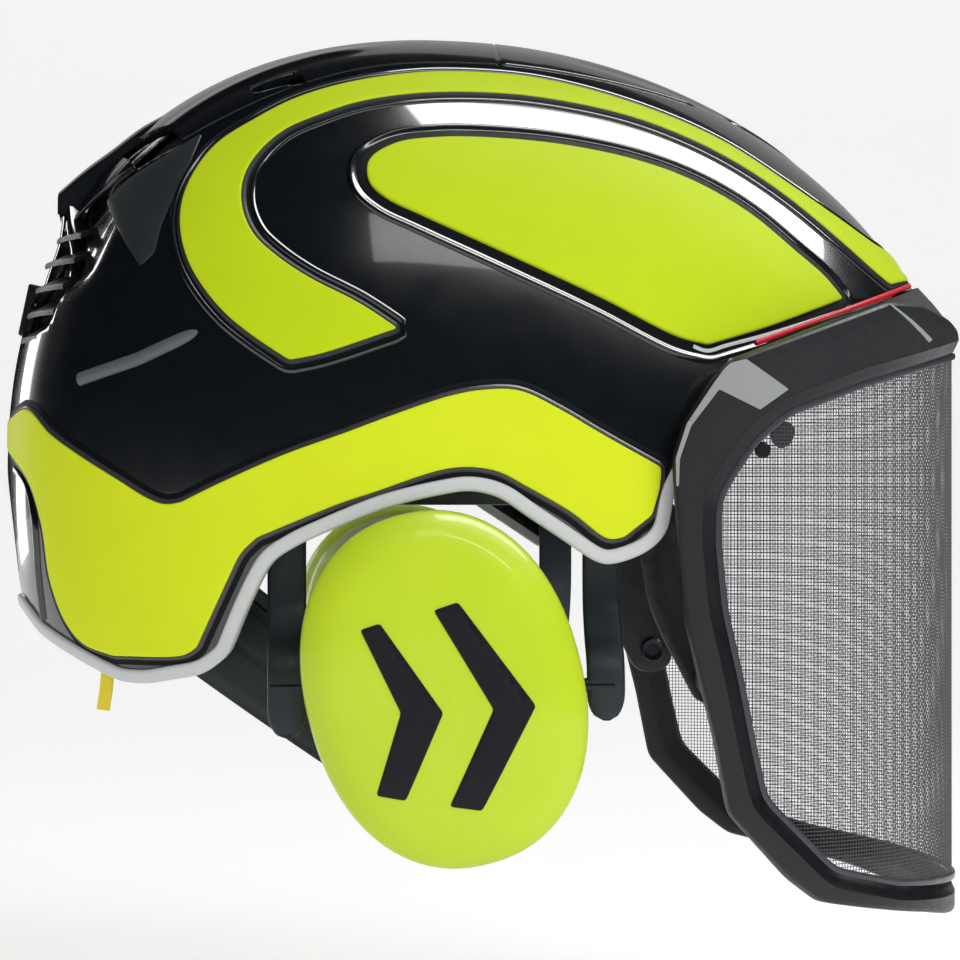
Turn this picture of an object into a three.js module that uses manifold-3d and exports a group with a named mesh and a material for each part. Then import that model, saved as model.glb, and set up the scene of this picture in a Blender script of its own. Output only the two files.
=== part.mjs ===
// A forestry helmet: a hard outer shell with coloured panels, a swing-up mesh visor, two swing-out ear cups
// and an adjustable head suspension. Millimetres; +X is the wearer's front, +Y the wearer's left, +Z up.
// The origin is the centre of the head where the helmet sits, on the level of the ear arches.
import * as THREE from "three";
import { mergeVertices } from "three/addons/utils/BufferGeometryUtils.js";
import Module from "manifold-3d";

const wasm = await Module();
wasm.setup();

// ---- Driving dimensions -------------------------------------------------------------------------------
// The shell is a superellipse in plan, carried up a rounded profile to the crown and down a short skirt.
const SHELL = {
  centreX: -4, // the crown's highest point
  front: 183, // plan reach forward of the centre
  rear: 148, // plan reach behind the centre
  halfWidth: 113,
  crown: 151, // height of the crown
  skirt: 140, // how fast the skirt turns in below the origin
  planPower: 2.25,
  frontPower: 1.93, // the brow slopes like an ellipse, the nape is squarer
  rearPower: 2.3,
  wall: 3,
};
const AROUND = 32; // facets round the shell
const UP = 8; // facets from the ear level to the crown
const DOWN = 2; // facets of the skirt
const GAP = 0.3; // between touching pieces
const PANEL = 1.5; // how far the coloured panels stand proud
const TRIM = 3.2; // width of the rubber edge trim
const LINER_BOTTOM = 58;
const FAR = 230; // beyond every surface
const STEP = 17; // spacing of the points along a curved outline

const VISOR = {
  pivot: [10, 5], // x, z of the swing axis
  centreX: 70, // the visor is half a drum about this line
  reach: 102.6,
  halfWidth: 113,
  power: 2.1,
  thickness: 7,
  mesh: 1.2,
  joint: [80.6, -63.6], // x, z of the screw that holds an arm to the frame
};
// The arm's distance from the middle, against distance from the pivot: it steps inward past the ear yoke.
const ARM = { near: 98.6, far: 88.8, stepFrom: 47, stepTo: 57, thickness: 2.6 };
const EAR = {
  x: -8, // centre of the cup
  z: -65,
  halfWidth: 43.2,
  halfHeight: 56,
  power: 2.2,
  tilt: 14.7, // degrees, the top leans back
  hingeY: 92, // the swing axis runs along X
  hingeZ: 4,
  pivotY: 104, // the cup rocks on pins along X
  rearLeg: [-63, -50.6],
  frontLeg: [38, 50],
  slider: [-17, 1],
};
const HEAD = { x: -14, z: 48, halfLength: 98, halfWidth: 78, rise: 72, bandBottom: 26, bandTop: 54 };
const NAPE = { x: -38, radius: 76, thickness: 2.2, rackGap: 5, rackHeight: 10 };
const DIAL = { x: -147, z: -24, radius: 28, tilt: 10, depth: 11, pinion: 4.2 };

// ---- Materials ----------------------------------------------------------------------------------------
const paint = (color, roughness, metalness = 0) => new THREE.MeshStandardMaterial({ color, roughness, metalness });
const BLACK = paint(0x14181d, 0.22);
const LIME = paint(0xc3d82f, 0.3);
const GREY_RUBBER = paint(0x9a9d9f, 0.6);
const BLACK_RUBBER = paint(0x16191c, 0.7);
const SATIN = paint(0x2a2e31, 0.45);
const RED = paint(0xd0202e, 0.5);
const WIRE = paint(0x55585a, 0.5, 0.6);
const STEEL = paint(0xb9bcc0, 0.3, 1);
const FOAM = paint(0x3a3d40, 0.95);
const LINER = paint(0x26292c, 0.9);
const WEBBING = paint(0x23272b, 0.9);
const PADDING = paint(0x42474a, 0.9);
const YELLOW = paint(0xf0dc28, 0.8);

// ---- Solids -------------------------------------------------------------------------------------------
function solidFrom(geometry) {
  const bare = geometry.index ? geometry.toNonIndexed() : geometry.clone();
  bare.deleteAttribute("normal");
  bare.deleteAttribute("uv");
  const merged = mergeVertices(bare, 1e-4);
  const solid = new wasm.Mesh({
    numProp: 3,
    vertProperties: merged.attributes.position.array,
    triVerts: new Uint32Array(merged.index.array),
  });
  return new wasm.Manifold(solid);
}

function geometryFrom(solid) {
  const mesh = solid.getMesh();
  const geometry = new THREE.BufferGeometry();
  geometry.setAttribute("position", new THREE.BufferAttribute(mesh.vertProperties, 3));
  geometry.setIndex(new THREE.BufferAttribute(mesh.triVerts, 1));
  return geometry;
}

const join = (...solids) => solids.reduce((all, one) => all.add(one));
const cut = (solid, ...tools) => tools.reduce((all, one) => all.subtract(one), solid);
const common = (...solids) => solids.reduce((all, one) => all.intersect(one));
const mirrored = (solid) => solid.mirror([0, 1, 0]);
const bothSides = (solid) => solid.add(mirrored(solid));

// Extruded outlines, in three directions. Each takes [u, v] points and the two ends of the extrusion.
function extrude(points, depth) {
  const shape = new THREE.Shape(points.map(([u, v]) => new THREE.Vector2(u, v)));
  return new THREE.ExtrudeGeometry(shape, { depth, bevelEnabled: false });
}
const sidePrism = (points, y0 = -FAR, y1 = FAR) =>
  solidFrom(extrude(points, y1 - y0).rotateX(Math.PI / 2).translate(0, y1, 0)); // [x, z] along Y
const planPrism = (points, z0 = -FAR, z1 = FAR) =>
  solidFrom(extrude(points, z1 - z0).translate(0, 0, z0)); // [x, y] along Z
const frontPrism = (points, x0, x1) =>
  solidFrom(
    extrude(points, x1 - x0).rotateX(Math.PI / 2).rotateZ(Math.PI / 2).translate(x0, 0, 0),
  ); // [y, z] along X
const block = (x0, x1, y0, y1, z0, z1) => {
  const box = new THREE.BoxGeometry(x1 - x0, y1 - y0, z1 - z0);
  return solidFrom(box.translate((x0 + x1) / 2, (y0 + y1) / 2, (z0 + z1) / 2));
};
const rodY = (radius, x, z, y0, y1, sides = 12) => {
  const rod = new THREE.CylinderGeometry(radius, radius, y1 - y0, sides);
  return solidFrom(rod.translate(x, (y0 + y1) / 2, z));
};
const rodX = (radius, y, z, x0, x1, sides = 10) => {
  const rod = new THREE.CylinderGeometry(radius, radius, x1 - x0, sides);
  return solidFrom(rod.rotateZ(Math.PI / 2).translate((x0 + x1) / 2, y, z));
};
const between = (z0, z1) => block(-FAR, FAR, -FAR, FAR, z0, z1);

// An outline from runs of points: a run of two is a straight line, a longer one a smooth curve through them.
function outline(...runs) {
  const points = [];
  for (const run of runs) {
    const curve = new THREE.SplineCurve(run.map(([u, v]) => new THREE.Vector2(u, v)));
    const pieces = run.length === 2 ? 1 : Math.ceil(curve.getLength() / STEP);
    for (const p of curve.getSpacedPoints(pieces).slice(0, -1)) points.push([p.x, p.y]);
  }
  return points;
}

function superellipse(x, y, halfLength, halfWidth, power, count) {
  const points = [];
  for (let i = 0; i < count; i++) {
    const angle = (i / count) * 2 * Math.PI;
    const c = Math.cos(angle);
    const s = Math.sin(angle);
    const reach = (Math.abs(c / halfLength) ** power + Math.abs(s / halfWidth) ** power) ** (-1 / power);
    points.push([x + reach * c, y + reach * s]);
  }
  return points;
}

// A closed solid through a stack of rings of [x, y, z] points, each ring of the same count.
function loft(rings) {
  const count = rings[0].length;
  const middle = (ring) => [0, 1, 2].map((k) => ring.reduce((sum, p) => sum + p[k], 0) / count);
  const positions = rings.flat(2);
  positions.push(...middle(rings[0]), ...middle(rings[rings.length - 1]));
  const first = rings.length * count;
  const index = [];
  for (let j = 0; j < count; j++) {
    const next = (j + 1) % count;
    index.push(first, next, j);
    for (let i = 0; i + 1 < rings.length; i++) {
      const a = i * count;
      const b = a + count;
      index.push(a + j, a + next, b + next, a + j, b + next, b + j);
    }
    index.push(first + 1, first - count + j, first - count + next);
  }
  const geometry = new THREE.BufferGeometry();
  geometry.setAttribute("position", new THREE.Float32BufferAttribute(positions, 3));
  geometry.setIndex(index);
  return solidFrom(geometry);
}

// ---- The shell's surface ------------------------------------------------------------------------------
function planReach(angle, offset) {
  const c = Math.cos(angle);
  const along = (c >= 0 ? SHELL.front : SHELL.rear) + offset;
  const across = SHELL.halfWidth + offset;
  const power = SHELL.planPower;
  return (Math.abs(c / along) ** power + Math.abs(Math.sin(angle) / across) ** power) ** (-1 / power);
}

function shellReach(angle, z, offset) {
  const share = Math.abs(Math.atan2(Math.sin(angle), Math.cos(angle))) / Math.PI;
  const eased = share * share * (3 - 2 * share);
  const power = SHELL.frontPower + (SHELL.rearPower - SHELL.frontPower) * eased;
  const height = (z >= 0 ? SHELL.crown : SHELL.skirt) + offset;
  return planReach(angle, offset) * (1 - Math.abs(z / height) ** power) ** (1 / power);
}

// A solid dome of the shell's form grown by offset, closed flat at the bottom.
function dome(offset, bottom = -80) {
  const rings = [];
  for (let i = 0; i <= DOWN; i++) rings.push(bottom * (1 - i / DOWN));
  for (let i = UP - 1; i >= 1; i--) rings.push((SHELL.crown + offset) * Math.cos((i / UP) * (Math.PI / 2)));
  rings.push((SHELL.crown + offset) * 0.9999);
  return loft(
    rings.map((z) => {
      const ring = [];
      for (let j = 0; j < AROUND; j++) {
        const angle = (j / AROUND) * 2 * Math.PI;
        const reach = shellReach(angle, z, offset);
        ring.push([SHELL.centreX + reach * Math.cos(angle), reach * Math.sin(angle), z]);
      }
      return ring;
    }),
  );
}
const layer = (inner, outer) => cut(dome(outer, -80), dome(inner, -81));

// The rim in side view, from the nape forward: skirt, ear arch, temple and brow. shift moves it into the shell.
function aboveRim(shift) {
  const line = outline(
    [[-185, -37], [-148, -39], [-140, -47.6], [-124, -58.4], [-109, -65.4]],
    [[-109, -65.4], [-93, -63.6], [-83, -61.6], [-75.2, -55.6]],
    [
      [-75.2, -55.6], [-69.4, -41.2], [-62.2, -26.4], [-53.4, -20.5], [-26.2, -9], [-8.5, -4.6], [0.4, -3.4],
      [9.3, -5.4], [18.2, -11.3], [28.7, -18.4], [38.5, -24.9],
    ],
    [[38.5, -24.9], [43, -26.8], [49.5, -25.8], [61, -19.5], [65, -5]],
    [[65, -5], [91, 42]],
    [[91, 42], [210, 84.8]],
  );
  line.push([210, 84.8]);
  const shifted = line.map(([x, z], i) => {
    const [ax, az] = line[Math.max(0, i - 1)];
    const [bx, bz] = line[Math.min(line.length - 1, i + 1)];
    const length = Math.hypot(bx - ax, bz - az);
    return [x - ((bz - az) / length) * shift, z + ((bx - ax) / length) * shift];
  });
  return sidePrism([...shifted, [FAR, FAR], [-FAR, FAR], [-FAR, -37 + shift]]);
}

// ---- The helmet ---------------------------------------------------------------------------------------
const helmet = new THREE.Group();
function addPiece(name, solid, material) {
  const mesh = new THREE.Mesh(geometryFrom(solid), material);
  mesh.name = name;
  helmet.add(mesh);
}
// A piece modelled on the wearer's right, at -Y, and its mirror image on the left.
function addPair(name, solid, material) {
  addPiece(`${name}_right`, solid, material);
  addPiece(`${name}_left`, mirrored(solid), material);
}
const rightHalf = block(-FAR, FAR, -FAR, -GAP, -FAR, FAR);

// Windows through the shell: two in each side of the crown and a louvred one each side of the back.
const crownWindows = bothSides(
  join(
    planPrism([[-117, -13], [-106, -50], [-90, -57], [-97, -38]], 60),
    planPrism([[-70, -46], [-67, -52], [-50, -55], [-53, -45]], 60),
  ),
);
const backWindow = (grow) =>
  frontPrism(
    [[-15 + grow, 42 - grow], [-50 - grow, 50 - grow], [-54 - grow, 70], [-38, 88 + grow], [-15 + grow, 84 + grow]],
    -FAR,
    -60,
  );

// The dial's axis leans, square to the nape. Lengths along it run forward from the dial's outer face.
const dialTurn = new THREE.Matrix4()
  .makeTranslation(DIAL.x, 0, DIAL.z)
  .multiply(new THREE.Matrix4().makeRotationY(THREE.MathUtils.degToRad(-DIAL.tilt)));
function dialRod(radius, from, to, sides = 28) {
  const rod = new THREE.CylinderGeometry(radius, radius, to - from, sides);
  return solidFrom(rod.rotateZ(Math.PI / 2).translate((from + to) / 2, 0, 0).applyMatrix4(dialTurn));
}
const dialNotch = dialRod(DIAL.radius + 3, -30, 30);

// A flat pad on the back of the shell takes a label or a lamp clip.
const labelPad = new THREE.BoxGeometry(12, 24, 18).rotateY(THREE.MathUtils.degToRad(12)).translate(-140.4, 0, 57);
addPiece(
  "outer_shell",
  join(
    cut(common(layer(-SHELL.wall, 0), aboveRim(TRIM + GAP)), crownWindows, bothSides(backWindow(0)), dialNotch),
    cut(solidFrom(labelPad), dome(-SHELL.wall / 2)),
  ),
  BLACK,
);

// Rubber trim grips the shell's edge, and a red seal closes the brow against the visor.
const edge = cut(common(layer(-SHELL.wall - 0.8, 1.4), aboveRim(0)), aboveRim(TRIM));
addPair(
  "edge_trim",
  cut(common(edge, rightHalf), block(88, FAR, -FAR, FAR, 34, FAR), dialRod(DIAL.radius + 3.4, -30, 30)),
  GREY_RUBBER,
);
addPiece("brow_seal", common(edge, block(88 + GAP, FAR, -FAR, FAR, 34 + GAP, FAR)), RED);

// Coloured panels laid on the shell, outlined in side view.
const onShell = (points) => common(layer(GAP, PANEL), sidePrism(points), rightHalf);
addPair(
  "upper_stripe",
  onShell(
    outline(
      [
        [147, 70], [127, 86], [90, 111], [47, 128], [5, 134], [-37, 129], [-67, 117],
        [-86, 100], [-90, 80], [-83, 61], [-67, 45], [-56, 37],
      ],
      [[-56, 37], [-22, 48]],
      [
        [-22, 48], [-50, 64], [-67, 78], [-71, 92], [-65, 106], [-46, 118],
        [-13, 126], [29, 125], [71, 114], [107, 93], [139, 67],
      ],
      [[139, 67], [147, 70]],
    ),
  ),
  LIME,
);
addPair(
  "side_panel",
  onShell(
    outline(
      [[77, 43], [43, 58], [-14, 84], [-29, 93], [-31, 101], [-20, 108], [6, 110], [43, 107], [75, 97], [108, 75], [125, 59]],
      [[125, 59], [77, 43]],
    ),
  ),
  LIME,
);
addPair(
  "lower_panel",
  onShell(
    outline(
      [[-148, 20], [-142, 23], [-110, 0], [-98, -7], [-90, -7]],
      [[-90, -7], [-80, -2], [-55, 9], [-22, 21], [2, 28], [17, 27], [40, 16], [61, 5]],
      [[61, 5], [58, -10]],
      [[58, -10], [47, -18]],
      [[47, -18], [32, -10], [16, 0], [0, 4], [-12, 2], [-40, -7], [-66, -18]],
      [[-66, -18], [-73, -27], [-84, -52]],
      [[-84, -52], [-90, -55.5], [-112, -56]],
      [[-112, -56], [-127, -48], [-133, -33], [-138, -8], [-148, 9]],
      [[-148, 9], [-148, 20]],
    ),
  ),
  LIME,
);

// The crown is covered in two parts that meet at a seam. The rear one rises into an air scoop.
const seam = 14;
const coverFront = [[seam + GAP, -46], [80, -40], [143, -20], [143, 20], [80, 40], [seam + GAP, 46]];
addPiece("crown_cover_front", common(layer(GAP, PANEL), planPrism(coverFront, 60)), BLACK);
const coverRear = [
  [seam, -46], [seam, 46], [-60, 56], [-90, 55], [-118, 40], [-132, 28],
  [-132, -28], [-118, -40], [-90, -55], [-60, -56],
];
const scoop = common(
  sidePrism([
    [-30, 120], [-20, 151.3], [-45, 146.7], [-73, 137.2], [-96, 125.6], [-115, 113], [-133.6, 98.3], [-132, 92],
    [-100, 92],
  ]),
  planPrism([[0, -10], [0, 10], [-60, 16], [-105, 27], [-140, 27], [-140, -27], [-105, -27], [-60, -16]], 60),
);
addPiece(
  "crown_cover_rear",
  cut(join(common(layer(GAP, PANEL), planPrism(coverRear, 90)), cut(scoop, dome(GAP))), crownWindows),
  BLACK,
);
const slots = [49, 58, 67, 76].map((z) => block(-FAR, 0, -47, -20, z, z + 4.5));
addPair("rear_grille", cut(common(layer(-2.8, -0.6), backWindow(-GAP)), ...slots), SATIN);

// ---- Head suspension ----------------------------------------------------------------------------------
addPiece("impact_liner", cut(common(layer(-17, -4.5), between(LINER_BOTTOM, FAR)), crownWindows), LINER);

const headPlan = (grow, z0 = HEAD.bandBottom, z1 = HEAD.bandTop, count = 28) =>
  planPrism(superellipse(HEAD.x, 0, HEAD.halfLength + grow, HEAD.halfWidth + grow, 2, count), z0, z1);
// Four lugs carry the headband from the foot of the liner.
const lugs = [40, 135].map((degrees) => {
  const arm = new THREE.BoxGeometry(FAR, 14, 60).translate(FAR / 2, 0, 0);
  const wedge = solidFrom(arm.rotateZ(-THREE.MathUtils.degToRad(degrees)).translate(SHELL.centreX, 0, 50));
  const shelf = common(wedge, between(HEAD.bandTop - 4, HEAD.bandTop), cut(dome(-7), headPlan(-1, 0, 80)));
  const riser = common(wedge, between(HEAD.bandTop - 4, LINER_BOTTOM - GAP), layer(-14, -7));
  return shelf.add(riser);
});
addPiece("headband", join(cut(headPlan(0), headPlan(-2.2, 0, 80)), bothSides(join(...lugs))), SATIN);
const frontPadZone = block(20, FAR, -36, 36, 0, 80);
addPiece("forehead_pad", common(cut(headPlan(-2.5, 29, 51), headPlan(-9, 0, 80)), frontPadZone), PADDING);

function cap(grow) {
  const ball = new THREE.SphereGeometry(1, 20, 10).rotateX(Math.PI / 2);
  const rise = HEAD.rise + grow;
  return solidFrom(ball.scale(HEAD.halfLength + grow, HEAD.halfWidth + grow, rise).translate(HEAD.x, 0, HEAD.z));
}
const strapRun = (degrees) =>
  solidFrom(
    new THREE.BoxGeometry(2 * FAR, 20, 160)
      .rotateZ(THREE.MathUtils.degToRad(degrees))
      .translate(HEAD.x, 0, 124),
  );
addPiece(
  "crown_straps",
  common(cut(cap(-2.6), cap(-4.2)), join(strapRun(42), strapRun(-42), strapRun(90)), between(44, FAR)),
  WEBBING,
);
const padDisc = planPrism(superellipse(HEAD.x, 0, 36, 30, 2, 12), 60, FAR);
addPiece("crown_pad", common(cut(cap(-4.6), cap(-11)), padDisc), PADDING);

// The nape bands bend round the back of the head and end in racks on either side of the dial's pinion.
const napeDrum = (radius, z0, z1) =>
  planPrism(superellipse(NAPE.x, 0, radius, radius, 2, 40), z0, z1);
// The dial's leaning axis crosses the bands at this height.
const pinionZ = DIAL.z + (NAPE.x - NAPE.radius - DIAL.x) * Math.tan(THREE.MathUtils.degToRad(DIAL.tilt));
const napeLayer = (inner, outer) => cut(napeDrum(outer, -FAR, FAR), napeDrum(inner, -FAR - 1, FAR + 1));
// In side view a band hangs from the rack down towards the ear. level is +1 for the upper rack, -1 the lower.
function napeBand(level, inner, outer) {
  const near = pinionZ + level * NAPE.rackGap;
  const far = near + level * NAPE.rackHeight;
  const [low, high] = [Math.min(near, far), Math.max(near, far)];
  const rack = common(napeLayer(inner, outer), block(-FAR, -90, -39, 10, low, high));
  const sweep = common(
    napeLayer(inner, outer),
    sidePrism([[-104, high], [-104, low - 3], [-98, -56], [-38, -97], [-38, -63], [-92, -18]]),
    rightHalf,
  );
  return rack.add(sweep);
}
const bandIn = NAPE.radius - NAPE.thickness / 2;
const bandOut = NAPE.radius + NAPE.thickness / 2;
addPiece("nape_band_right", napeBand(1, bandIn, bandOut), SATIN);
addPiece("nape_band_left", mirrored(napeBand(-1, bandIn, bandOut)), SATIN);
addPair(
  "nape_pad",
  common(
    napeLayer(bandIn - 7, bandIn - GAP),
    sidePrism([[-101, -18], [-101, -48], [-42, -90], [-42, -69]]),
    rightHalf,
  ),
  PADDING,
);

const housingCase = common(napeLayer(bandIn - 2.4, bandOut + 2.4), block(-FAR, -90, -24, 24, pinionZ - 20, pinionZ + 20));
const housingSlot = common(
  napeLayer(bandIn - 0.8, bandOut + 0.8),
  block(-FAR, -90, -40, 40, pinionZ - 16.4, pinionZ + 16.4),
);
const bracket = common(block(-160, -108, -46, 46, pinionZ + 17.4, pinionZ + 21), dome(-SHELL.wall - GAP));
addPiece(
  "dial_housing",
  cut(
    join(housingCase, cut(bracket, napeDrum(bandIn - 2.4, -FAR, FAR), dialRod(DIAL.radius + 3, -20, 15))),
    housingSlot,
    dialRod(DIAL.pinion + 0.6, -20, 36),
  ),
  SATIN,
);
const knob = [];
for (let i = 0; i < 36; i++) {
  const angle = (i / 36) * 2 * Math.PI;
  const radius = DIAL.radius - (i % 3 === 0 ? 1.6 : 0);
  knob.push([radius * Math.cos(angle), radius * Math.sin(angle)]);
}
addPiece(
  "fit_dial",
  solidFrom(extrude(knob, DIAL.depth).rotateY(Math.PI / 2).applyMatrix4(dialTurn)),
  BLACK_RUBBER,
);
addPiece("dial_pinion", dialRod(DIAL.pinion, DIAL.depth + GAP, 34.5, 14), STEEL);
addPiece("pull_tab", block(-118, -112.5, -54.4, -53.2, -76, -50), YELLOW);

// ---- Visor --------------------------------------------------------------------------------------------
const drum = (grow) =>
  planPrism(
    superellipse(VISOR.centreX, 0, VISOR.reach + grow, VISOR.halfWidth + grow, VISOR.power, 40),
    -170,
    90,
  );
const half = VISOR.thickness / 2;
const frameOutline = [
  [90.5, 41], [82.7, 38], [75.9, 31], [67.5, 18], [64, 7], [66, -26], [68, -45], [76.8, -80], [81.7, -105],
  [101.3, -126], [112, -134], [153, -142], [190, -152], [190, 43], [172.6, 49.5], [162.8, 53.5], [148.2, 57.5],
  [134.5, 57.4],
];
const opening = (inset) => [
  [83.1 + inset, 1.6], [90.5 + inset, 12.3 - inset], [101.3, 21.2 - inset], [127.6, 30.8 - inset],
  [190, 49 - inset], [190, -136 + inset], [157, -132.7 + inset], [140.4, -130.5 + inset],
  [116.9 + inset, -124 + inset], [102.2 + inset, -109.7 + inset], [93.4 + inset, -100], [89.5 + inset, -83],
  [80.6 + inset, -41], [78.4 + inset, -19], [78.4 + inset, -6],
];
// A shelf under the brow closes the gap between the shell and the ring.
const shelf = common(
  drum(0),
  sidePrism([
    [84, 38.5], [90.5, 41], [155, 63.9], [159, 62.5], [178, 47.5], [190, 43], [190, 38.5], [178, 43], [159, 57.5],
    [90.5, 36.5], [84, 34],
  ]),
);
const ring = common(cut(drum(half), drum(-half)), cut(sidePrism(frameOutline), sidePrism(opening(0))));
const screwHole = (radius, y0, y1) => rodY(radius, ...VISOR.joint, y0, y1, 10);
addPiece(
  "visor_frame",
  cut(join(ring, shelf), dome(2.4), bothSides(screwHole(2.3, -112.5, -90))),
  SATIN,
);
addPiece("visor_mesh", common(cut(drum(VISOR.mesh / 2), drum(-VISOR.mesh / 2)), sidePrism(opening(GAP))), WIRE);

// The arm's plate is turned about the pivot's axis, then cut to the arm's outline.
const armPlate = (() => {
  const profile = [
    [0, ARM.near], [ARM.stepFrom, ARM.near], [ARM.stepTo, ARM.far], [120, ARM.far], [120, ARM.far + ARM.thickness],
    [ARM.stepTo, ARM.far + ARM.thickness], [ARM.stepFrom, ARM.near + ARM.thickness], [0, ARM.near + ARM.thickness],
  ].map(([radius, y]) => new THREE.Vector2(radius, y));
  profile.push(profile[0].clone());
  const turned = new THREE.LatheGeometry(profile, 40).rotateX(Math.PI).translate(VISOR.pivot[0], 0, VISOR.pivot[1]);
  return solidFrom(turned);
})();
const armOutline = outline(
  [[10, -5], [2, -1], [0, 7], [5, 14], [12, 15], [30, 12.5], [50, 8], [62, 0], [70, -14], [77, -34], [87, -58]],
  [[87, -58], [88, -67], [81, -72.5], [72, -68]],
  [[72, -68], [60, -42], [56, -24], [52, -10], [44, -4], [30, -3.5], [10, -5]],
);
addPair(
  "visor_arm",
  cut(
    join(common(armPlate, sidePrism(armOutline)), screwHole(7, -107.4, -ARM.far)),
    screwHole(2.3, -120, -80),
    rodY(4.9, ...VISOR.pivot, -120, -80, 16),
  ),
  SATIN,
);
addPair(
  "visor_pivot",
  common(
    join(rodY(4.5, ...VISOR.pivot, -112, -98), rodY(7.5, ...VISOR.pivot, -98.2, -96.4)),
    dome(-SHELL.wall - 0.8 - GAP),
  ),
  STEEL,
);
addPair(
  "visor_screw",
  join(screwHole(2, -112, -ARM.far + 1), screwHole(4.5, -ARM.far + 0.4, -ARM.far + 2.8)),
  STEEL,
);

// ---- Ear defenders ------------------------------------------------------------------------------------
const [sliderBack, sliderFront] = EAR.slider;
addPair(
  "ear_guide",
  cut(
    block(sliderBack - 5, sliderFront + 5, -95.5, -88, 16, LINER_BOTTOM - GAP),
    block(sliderBack - 0.4, sliderFront + 0.4, -94.5, -89.5, 10, 56),
  ),
  SATIN,
);
const hingeRod = (radius, x0, x1) => rodX(radius, -EAR.hingeY, EAR.hingeZ, x0, x1);
addPair(
  "ear_slider",
  cut(
    join(block(sliderBack, sliderFront, -94.1, -89.9, EAR.hingeZ, 50), hingeRod(4.2, sliderBack, sliderFront)),
    hingeRod(2.1, -30, 20),
  ),
  SATIN,
);
addPair("ear_hinge_pin", hingeRod(1.8, sliderBack - 8, sliderFront + 8), STEEL);

// A leg steps inward to pass inside the rim as the yoke swings out, then outward to the cup's pin.
const legProfile = [
  [-89.4, -1.5], [-92.4, -1.5], [-92.4, -9], [-89.5, -14], [-89.5, -38], [-107, -58],
  [-107, -100], [-101, -100], [-101, -60], [-86.5, -42], [-86.5, -13], [-89.4, -9],
];
const leg = ([x0, x1], bottom) =>
  common(
    frontPrism(legProfile, x0, x1),
    sidePrism([[x0, 0], [x0, bottom + 8], [x0 + 3, bottom + 1], [x1 - 3, bottom + 1], [x1, bottom + 8], [x1, 0]]),
  );
const knuckle = (x0, x1) => join(hingeRod(4.2, x0, x1), block(x0, x1, -92.6, -89.4, -8, EAR.hingeZ));
const pinRod = (radius, x0, x1) => rodX(radius, -EAR.pivotY, EAR.z, x0, x1, 10);
addPair(
  "ear_yoke",
  cut(
    join(
      block(EAR.rearLeg[0], EAR.frontLeg[1], -92.4, -89.4, -8, -1.5),
      leg(EAR.rearLeg, -82),
      leg(EAR.frontLeg, -77),
      knuckle(sliderBack - 8, sliderBack - 0.5),
      knuckle(sliderFront + 0.5, sliderFront + 8),
    ),
    hingeRod(2.1, -30, 20),
    pinRod(2.8, -70, 60),
  ),
  SATIN,
);

// The cup is widest outside the shell and draws in towards the head, so it can swing out past the rim.
function cupSolid(sections, grow = 0) {
  return loft(
    sections.map(([y, inset]) => {
      const turn = THREE.MathUtils.degToRad(-EAR.tilt);
      const width = EAR.halfWidth - inset + grow;
      const height = EAR.halfHeight - inset + grow;
      return superellipse(0, 0, width, height, EAR.power, 24).map(([u, v]) => [
        EAR.x + u * Math.cos(turn) + v * Math.sin(turn),
        -y - (grow && y > 110 ? grow : 0),
        EAR.z - u * Math.sin(turn) + v * Math.cos(turn),
      ]);
    }),
  );
}
const cupOutside = [[99, 6], [112, 4.6], [119, 0], [125, 1.2], [130, 6.5], [132.4, 16]];
const cupInside = [[98, 9], [112, 7.8], [119, 3.4], [126, 5.5], [129.5, 16]];
addPair("ear_cup", cut(cupSolid(cupOutside), cupSolid(cupInside), pinRod(2.8, -70, 60)), LIME);
const cupSkin = cut(cupSolid(cupOutside, 1.1), cupSolid(cupOutside, GAP));
const chevron = (points) => common(cupSkin, sidePrism(points, -FAR, -124));
addPair(
  "chevron_rear",
  chevron([[-36, -47], [-22, -72], [-29, -97], [-20, -98.5], [-9, -71], [-29, -44.5]]),
  BLACK_RUBBER,
);
addPair(
  "chevron_front",
  chevron([[-12, -40], [7.2, -70], [-7, -100.6], [2, -102], [19.6, -68.5], [-4, -37.5]]),
  BLACK_RUBBER,
);
addPair(
  "ear_backplate",
  cut(cupSolid([[96, 7], [98.7, 7]]), cupSolid([[90, 22], [110, 22]])),
  BLACK_RUBBER,
);
addPair("ear_cushion", cut(cupSolid([[82, 9], [84, 7], [93, 7], [95.7, 8]]), cupSolid([[70, 21], [110, 21]])), PADDING);
addPair("ear_foam", cupSolid([[101, 12.5], [116, 11]]), FOAM);
addPair("cup_pin_rear", pinRod(2.5, EAR.rearLeg[0] + 3, -43.5), STEEL);
addPair("cup_pin_front", pinRod(2.5, 27.5, EAR.frontLeg[1] - 3), STEEL);

export default helmet;
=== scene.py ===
# The forestry helmet in full detail, built on the CAD frame. Lengths in the helpers are millimetres in the
# frame's axes: +X the wearer's front, +Y the wearer's left, +Z up.
import math
import bpy
import bmesh
import numpy as np
from mathutils import Matrix, Vector
from mathutils.bvhtree import BVHTree
from mathutils.geometry import delaunay_2d_cdt


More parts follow.
